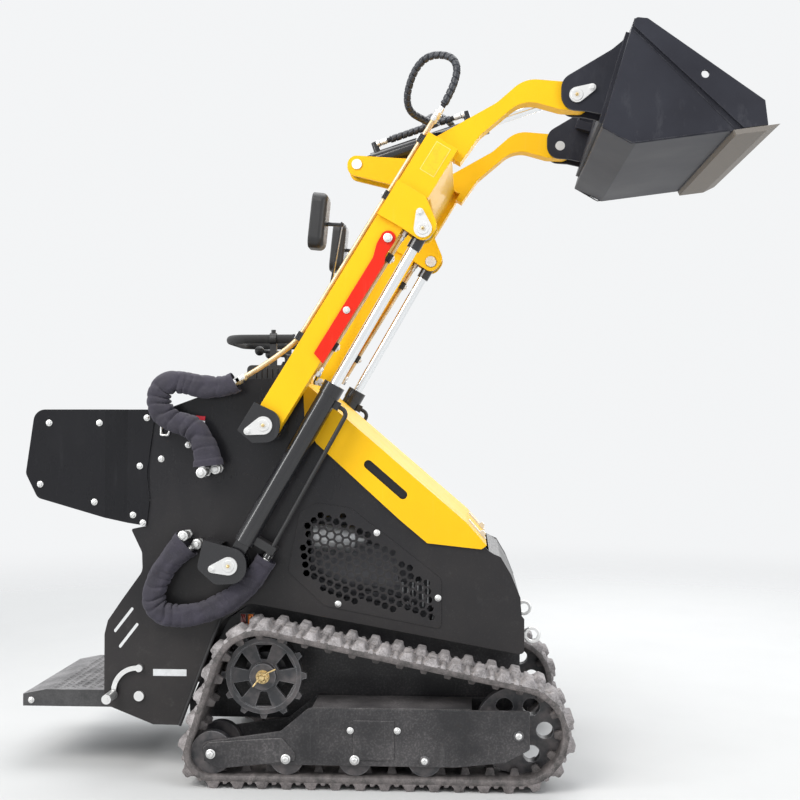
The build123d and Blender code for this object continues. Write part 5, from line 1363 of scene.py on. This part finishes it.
class LOADER_OT_side_hoses(bpy.types.Operator):
    """Run a pair of hoses in a cloth sleeve to each arm and to each lift cylinder"""

    bl_idname = "loader.side_hoses"
    bl_label = "Side hoses"

    def execute(self, context):
        for name, side in SIDES:
            self.run("upper", name, side, "boom")
            self.run("lower", name, side, f"lift_barrel_{name}")
        return {"FINISHED"}

    def run(self, level, name, side, body):
        ys, ports, corners, end, start, seed = SIDE_RUNS[level]
        form = Form()
        for port, y in zip(ports, ys):
            points = [(x, side * y, z) for x, z in (port, *corners, end)]
            form.finish = 0
            form.tube(smooth_route(points, 6.0), hoses().hose_radius / MM, 16)
            form.finish = 1
            ferrule(form, points[0], points[1])
            ferrule(form, points[-1], points[-2])
        middle_y = side * sum(ys) / 2
        pair = form.piece(f"{level}_hoses_{name}", None, "hose_rubber", hose_rubber, zinc)
        form = Form()
        for (x, z), y in zip(PORT_HOLES[level], ys):
            form.lathe(outward(x, side * (y - PORT_SETBACK), z), PORT_HEAD, 26)
        form.piece(f"{level}_port_heads_{name}", "frame", "zinc", zinc)
        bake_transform(pair)
        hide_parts(f"{level}_hoses")
        middle = Vector(((ports[0][0] + ports[1][0]) / 2, (ports[0][1] + ports[1][1]) / 2))
        mouth = middle + (Vector(corners[0]) - middle).normalized() * -3
        tail = Vector(end) + (Vector(corners[-1]) - Vector(end)).normalized() * 2
        sleeve = Sleeve([mouth, *corners, tail], middle_y, seed)
        form = Form()
        sleeve.skin(form)
        cloth = form.piece(f"{level}_sleeve_{name}", None, "hose_rubber", sleeve_cloth, turn=80.0)
        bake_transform(cloth)


LOOP_ROUTE = [
    (150.0, -337, 1927.8), (208.8, -337, 2022.7), (197.8, -310, 2109.7), (90.3, -255, 2122.8),
    (36.2, -190, 1985.3), (121.7, -100, 1957.9), (146.5, 0, 1986.9), (-43.6, 0, 1924.9),
]
SHORT_ROUTE = [
    (150.0, 337, 1927.8), (215.3, 337, 2033.2), (130.3, 190, 2075.2),
    (75.2, 0, 1963.6), (212.2, 0, 2008.2),
]

# The wrap's line: millimetres from point to point, share of a turn that the strip fills, points left bare
WRAP_STEP = 1.5
WRAP_SHARE = 0.93
WRAP_BARE = 22


class LOADER_OT_boom_hoses(bpy.types.Operator):
    """Run the two spiral-wrapped hoses from the arms to the bucket's cylinder"""

    bl_idname = "loader.boom_hoses"
    bl_label = "Boom hoses"

    def execute(self, context):
        for name, route in (("loop_hose", LOOP_ROUTE), ("short_hose", SHORT_ROUTE)):
            line = smooth_route(route, WRAP_STEP)
            form = Form()
            form.tube(line[::6], hoses().loop_radius / MM, 16)
            form.finish = 1
            self.wrap(form, line)
            form.finish = 2
            ferrule(form, route[0], route[1])
            ferrule(form, route[-1], route[-2])
            piece = form.piece(name, None, "hose_rubber", hose_rubber, spiral_plastic, zinc, turn=50.0)
            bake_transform(piece)
            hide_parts("boom_hoses")
        return {"FINISHED"}

    def wrap(self, form, line, sides=24):
        """A flat strip wound round the hose, turn beside turn, short of both ferrules."""
        settings = hoses()
        inner = settings.loop_radius / MM + 0.3
        pitch = settings.wrap_pitch / MM
        height = settings.wrap_height / MM
        held = line[WRAP_BARE:-WRAP_BARE]
        rings = []
        for i, (point, (side, up)) in enumerate(zip(held, cross_axes(held))):
            ring = []
            for k, (c, s) in enumerate(circle(sides)):
                turn = (i * WRAP_STEP / pitch + k / sides) % 1.0
                rise = min(1.0, 11.0 * min(turn, WRAP_SHARE - turn)) if turn < WRAP_SHARE else 0.0
                reach = inner + height * max(rise, 0.0)
                ring.append(point + side * (reach * c) + up * (reach * s))
            rings.append(ring)
        form.skin(rings)


# Small fittings

BURR = [(8.6, -0.4), (8.0, 0.6), (6.2, 1.9), (4.6, 2.3), (4.0, 1.2), (3.8, 0.2)]
BURR_PITCH = 26.0
STEP_TOP = 232.0
STEP_HALF_WIDTH = 244.0


class LOADER_OT_step(bpy.types.Operator):
    """Raise the grip burrs of the operator's step"""

    bl_idname = "loader.step"
    bl_label = "Step"

    def execute(self, context):
        form = Form()
        for row in range(11):
            for column in range(19):
                x = -1006 + BURR_PITCH * row
                y = -234 + BURR_PITCH * (column + row % 2 / 2)
                if abs(y) <= STEP_HALF_WIDTH:
                    form.lathe(moved(x, y, STEP_TOP), BURR, 10)
        form.piece("step_burrs", "platform", "black_paint", plate_tread, turn=60.0)
        return {"FINISHED"}


def add_label(form, corners, y, radius, thick=0.7):
    """A thin plate on the side plate's or arm's face; its corners are rows of x and z."""
    outline = rounded(on_face(corners, y), radius)
    form.prism(outward(0, y, 0), outline, [(0, 0), (thick - 0.3, 0), (thick, 0.2)])


# Finish, middle, size, angle and corner radius of the labels on a side plate
SIDE_LABELS = [
    (0, (-646, 292), (102, 22), 0, 2.0), (0, (-558, 1031), (30, 14), -4, 1.5),
    (1, (-557, 1045), (30, 13), -4, 1.5),
]
ARM_LABEL = (142, 1787)

MARKER_X = -414.0
MARKER_Z = 452.0
# A marker's base and its two lenses: shift forward, size, corner radius, levels
MARKER = [
    (0, (52, 46), 5, [(0, 0), (7, 0), (8, 1)]),
    (11, (20, 38), 4, [(7, 0), (14, 0), (17, 3)]),
    (-11, (20, 38), 4, [(7, 0), (13, 0), (15, 3)]),
]


def slanted(middle, size, angle):
    """The corners of a turned rectangle."""
    c, d = along(angle)
    x, z = middle
    return [(x + s * c - t * d, z + s * d + t * c) for s, t in rectangle(*size)]


class LOADER_OT_labels(bpy.types.Operator):
    """Stick the blank labels on the side plates and arms, and fit the side markers"""

    bl_idname = "loader.labels"
    bl_label = "Labels and markers"

    def execute(self, context):
        form = Form()
        for y in both(SIDE_FACE_Y):
            for finish, middle, size, angle, radius in SIDE_LABELS:
                form.finish = finish
                add_label(form, slanted(middle, size, angle), y, radius)
        form.piece("side_labels", "frame", "black_plastic", white_label, red_label)
        form = Form()
        for y in both(ARM_FACE_Y):
            for finish, size, radius, thick in [(0, (102, 56), 5.0, 0.5), (1, (96, 50), 4.0, 0.8)]:
                form.finish = finish
                add_label(form, slanted(ARM_LABEL, size, ARM_ANGLE), y, radius, thick)
        form.piece("arm_labels", "boom", "yellow_paint", frame_label, yellow_label)
        form = Form()
        for y in both(SIDE_FACE_Y):
            for finish, (shift, size, radius, levels) in enumerate(MARKER):
                form.finish = finish
                where = outward(MARKER_X, y, MARKER_Z) @ moved(shift, 0, 0)
                form.prism(where, rounded(rectangle(*size), radius), levels)
        form.piece("side_markers", "frame", "black_plastic", moulded_plastic, amber_lens, dark_red_lens)
        return {"FINISHED"}


# A port grommet's two rims: size and rise. The black grommet is partly painted shade: it stands for the dark
# opening round the hoses.
GROMMET_AND_PORT_SHADE = [((84, 48), 3.0), ((74, 38), 4.2)]
# The black strip along each side plate's rear edge is painted shadow: it stands for the shadow line of the
# edge.
SHADOW_LINE_STRIP = [(-482, 484), (-615, 138)]
HANDLE_Y = 300.0
HANDLE_LOOP = [(-672, 1030), (-672, 994), (-652, 994), (-644, 1012), (-652, 1030)]
HANDLE_LUGS = [(-672, 1026), (-672, 998)]


class LOADER_OT_side_fittings(bpy.types.Operator):
    """Fit the side plates' black port grommets, which also stand for the shade of the openings round the
    hoses, black strips of painted shadow along their rear edges, and pull handles
    """

    bl_idname = "loader.side_fittings"
    bl_label = "Side fittings"

    def execute(self, context):
        form = Form()
        handles = Form()
        for _, side in SIDES:
            y = side * SIDE_FACE_Y
            for (ax, az), (bx, bz) in PORT_HOLES.values():
                middle = ((ax + bx) / 2, (az + bz) / 2)
                turn = math.degrees(math.atan2(bz - az, bx - ax))
                # Black grommets, partly painted shade of the opening round the ports.
                for size, rise in GROMMET_AND_PORT_SHADE:
                    corners = rounded(on_face(slanted(middle, size, turn), y), size[1] / 2 - 0.5, 8)
                    form.prism(outward(0, y, 0), corners, [(0, 0), (rise - 1, 0), (rise, 1)])
            # Painted shadow: a black tube along the side plate's rear edge.
            strip = [Vector((x, y * 1.012, z)) for x, z in SHADOW_LINE_STRIP]
            form.tube(evenly(strip, 8.0), 5.0, 10)
            line = [Vector((x, side * HANDLE_Y, z)) for x, z in HANDLE_LOOP]
            handles.tube(evenly([*line, line[0]], 2.5), 3.4, 10)
            for x, z in HANDLE_LUGS:
                handles.lathe(outward(x, y, z), [(5, 0), (5, 9), (4, 10)], 12)
        form.piece("side_grommets_and_shadow_strips", "frame", "black_plastic", moulded_plastic)
        handles.piece("pull_handles", "frame", "zinc", zinc)
        return {"FINISHED"}


CONSOLE_TOP = 1202.6
CONSOLE_REAR = -425.0
CONSOLE_MIDDLE = 1176.0
KNOB = [(17, 0), (17, 4), (14, 7), (4, 8)]
GAUGE = [(14.6, -2), (15.2, 0), (15.2, 3), (13, 5), (2, 5.6)]
FILLER_CAP = [(30, 0), (30, 8), (26, 9), (26, 14), (27, 15), (27, 27), (24, 31), (4, 32)]
CAP_RIBS = 16


class LOADER_OT_console(bpy.types.Operator):
    """Detail the operator's console: vents, filler cap, gauges and knobs"""

    bl_idname = "loader.console"
    bl_label = "Console"

    def execute(self, context):
        form = Form()
        for y in range(-150, 151, 60):
            form.block(moved(-366, y, CONSOLE_TOP), (74, 34, 3.0), 1.2)
        for _, side in SIDES:
            for k in range(5):
                form.block(outward(-398 + 16 * k, side * 250, CONSOLE_MIDDLE), (5, 34, 3.0), 1.2)
        rear = aimed((CONSOLE_REAR, 0, CONSOLE_MIDDLE), (-1, 0, 0))
        for y in (-170, -60, 60, 170):
            form.lathe(rear @ moved(0, y, 0), KNOB, 24)
        cap = aimed((-506, -236, 1121), (-0.42, 0, 0.9))
        form.lathe(cap, FILLER_CAP, 32)
        for k in range(CAP_RIBS):
            turned = cap @ Matrix.Rotation(2 * math.pi * k / CAP_RIBS, 4, "Z") @ moved(27.0, 0, 15)
            form.block(turned, (3.5, 4.0, 12.0), 1.0)
        form.piece("console_fittings", "frame", "black_plastic", moulded_plastic)
        form = Form()
        for _, side in SIDES:
            form.lathe(aimed((-300, side * 150, 1288), (1, 0, 0)), GAUGE, 24)
            for k in range(4):
                ring = aimed((-330, side * 95, 1203 + 4.5 * k), (0, 0, 1))
                form.lathe(ring, [(19 - 2.2 * k, 0), (21 - 2.2 * k, 1.6), (18.6 - 2.2 * k, 4.4)], 24)
        form.piece("lever_boots", "frame", "black_plastic", hose_rubber)
        return {"FINISHED"}


SILENCER_Y = 238.0
SILENCER = [(12, -8), (14, 0), (36, 3), (40, 8), (40, 128), (36, 134), (12, 138), (10, 168)]
AIR_CLEANER = [(26, 0), (33, 3), (33, 66), (30, 72), (10, 74), (10, 92)]


class LOADER_OT_engine(bpy.types.Operator):
    """Hang the silencer, air cleaner and pipes beside the engine, behind the grilles"""

    bl_idname = "loader.engine"
    bl_label = "Engine fittings"

    def execute(self, context):
        form = Form()
        for _, side in SIDES:
            y = side * SILENCER_Y
            form.finish = 0
            form.lathe(aimed((-232, y, 690), (1, 0, -0.05)), SILENCER, 28)
            for k in range(7):
                form.block(outward(40 + 15 * k, side * 200, 540), (5, 120, 16), 1.0)
            form.finish = 1
            filter_can = aimed((60, y, 560), (0, 0, 1))
            form.lathe(filter_can, AIR_CLEANER, 28)
            for z, reach in ((470, 18), (500, 22), (640, 20)):
                run = [(-230, y, z + 90), (-150, y - side * 14, z + 40), (-30, y, z + 40), (90, y, z)]
                form.tube(smooth_route([(a, b, min(c, 690)) for a, b, c in run], 8.0), reach / 2.6, 12)
        form.piece("engine_fittings", "frame", "grey_iron", cast_alloy, hose_rubber)
        return {"FINISHED"}


# Stage

def add_lamp(name, spot, target, size, power, colour=(1.0, 1.0, 1.0)):
    data = bpy.data.lights.new(name, "AREA")
    data.shape = "RECTANGLE"
    data.size, data.size_y = size
    data.energy = power
    data.color = colour
    lamp = bpy.data.objects.new(name, data)
    lamp.location = spot
    lamp.rotation_euler = (Vector(target) - Vector(spot)).to_track_quat("-Z", "Y").to_euler()
    bpy.context.scene.collection.objects.link(lamp)


SKY = (0.90, 0.95, 1.0, 1.0)
SKY_STRENGTH = 0.62
BACKDROP = (0.90, 0.91, 0.92, 1.0)


def world_light():
    """Even light from all round, and a pale ground behind the object."""
    world = bpy.data.worlds.new("studio")
    bpy.context.scene.world = world
    world.use_nodes = True
    nodes, links = world.node_tree.nodes, world.node_tree.links
    paths = nodes.new("ShaderNodeLightPath")
    seen = paths.outputs["Is Camera Ray"]
    for ray in ("Is Glossy Ray", "Is Transmission Ray"):
        either = nodes.new("ShaderNodeMath")
        either.operation = "MAXIMUM"
        links.new(seen, either.inputs[0])
        links.new(paths.outputs[ray], either.inputs[1])
        seen = either.outputs[0]
    around = nodes["Background"]
    around.inputs["Color"].default_value = SKY
    around.inputs["Strength"].default_value = SKY_STRENGTH
    behind = nodes.new("ShaderNodeBackground")
    behind.inputs["Color"].default_value = BACKDROP
    choice = nodes.new("ShaderNodeMixShader")
    links.new(seen, choice.inputs[0])
    links.new(around.outputs[0], choice.inputs[1])
    links.new(behind.outputs[0], choice.inputs[2])
    links.new(choice.outputs[0], nodes["World Output"].inputs["Surface"])


def floor_paint(finish):
    """Pale floor, fading into the ground behind it."""
    stage = bpy.context.scene.stage_settings
    grain = finish.noise(3.0, 6.0).within(0.3, 0.7)
    away = finish.node("ShaderNodeVectorMath", {"operation": "LENGTH"}, finish.place())
    far = Signal(finish, away.outputs["Value"]).within(stage.floor_clear, stage.floor_size * 0.17)
    finish.set(Base_Color=finish.mix(grain, opaque(stage.floor, 0.97), opaque(stage.floor)), Roughness=0.8)
    finish.set(Alpha=(1 - far) ** 2.0)


class LOADER_OT_stage(bpy.types.Operator):
    """Set out the floor, the lamps and the camera"""

    bl_idname = "loader.stage"
    bl_label = "Stage"

    def execute(self, context):
        stage = context.scene.stage_settings
        bpy.ops.mesh.primitive_circle_add(vertices=96, radius=stage.floor_size / 2, fill_type="NGON")
        floor = context.active_object
        floor.name = "floor"
        floor.data.materials.append(made(floor_paint))
        world_light()
        add_lamp("key", (-2.4, -3.8, 4.4), (0.0, 0.0, 0.9), (2.6, 2.6), 182.0, (1.0, 0.98, 0.95))
        add_lamp("fill", (3.8, -2.8, 2.4), (0.2, 0.0, 1.0), (2.6, 2.2), 72.0, (0.96, 0.98, 1.0))
        add_lamp("top", (0.3, 0.6, 4.8), (0.0, 0.0, 0.8), (3.4, 3.4), 116.0)
        add_lamp("back", (1.8, 3.8, 3.0), (0.0, 0.0, 1.0), (2.4, 2.4), 90.0)
        add_lamp("strip", (-3.6, -2.2, 2.4), (0.0, -0.3, 1.1), (0.7, 3.2), 60.0)
        turn, rise = stage.camera_turn, stage.camera_rise
        right = Vector((math.cos(turn), math.sin(turn), 0.0))
        ahead = Vector((-math.sin(turn) * math.cos(rise), math.cos(turn) * math.cos(rise), math.sin(rise)))
        up = right.cross(ahead)
        data = bpy.data.cameras.new("camera")
        data.lens = stage.lens
        data.sensor_width = 36.0
        camera = bpy.data.objects.new("camera", data)
        turned = Matrix((right, up, -ahead)).transposed().to_4x4()
        spot = moved(stage.camera_x, -stage.camera_distance, stage.camera_height)
        camera.matrix_world = spot @ turned
        context.scene.collection.objects.link(camera)
        context.scene.camera = camera
        context.scene.view_settings.view_transform = "Standard"
        return {"FINISHED"}


class LOADER_PT_panel(bpy.types.Panel):
    """The loader's pieces and settings"""

    bl_label = "Track loader"
    bl_idname = "LOADER_PT_panel"
    bl_space_type = "VIEW_3D"
    bl_region_type = "UI"
    bl_category = "Loader"

    def draw(self, context):
        for name, kind in GROUPS.items():
            box = self.layout.box()
            for setting in kind.__annotations__:
                box.prop(getattr(context.scene, name), setting)
        for operator in OPERATORS:
            self.layout.operator(operator.bl_idname)


OPERATORS = [
    LOADER_OT_stage,
    LOADER_OT_side_hoses,
    LOADER_OT_boom_hoses,
    LOADER_OT_finishes,
    LOADER_OT_tracks,
    LOADER_OT_undercarriage,
    LOADER_OT_pipes,
    LOADER_OT_welds,
    LOADER_OT_bolts,
    LOADER_OT_step,
    LOADER_OT_labels,
    LOADER_OT_side_fittings,
    LOADER_OT_console,
    LOADER_OT_engine,
]
GROUPS = {
    "loader_colours": LoaderColours,
    "loader_wear": LoaderWear,
    "hose_settings": HoseSettings,
    "tread_settings": TreadSettings,
    "stage_settings": StageSettings,
}


def register():
    for kind in [*GROUPS.values(), *OPERATORS, LOADER_PT_panel]:
        bpy.utils.register_class(kind)
    for name, kind in GROUPS.items():
        setattr(bpy.types.Scene, name, bpy.props.PointerProperty(type=kind))


def unregister():
    for name in GROUPS:
        delattr(bpy.types.Scene, name)
    for kind in reversed([*GROUPS.values(), *OPERATORS, LOADER_PT_panel]):
        bpy.utils.unregister_class(kind)


def main():
    register()
    for operator in OPERATORS:
        group, name = operator.bl_idname.split(".")
        getattr(getattr(bpy.ops, group), name)()


if __name__ == "__main__":
    main()
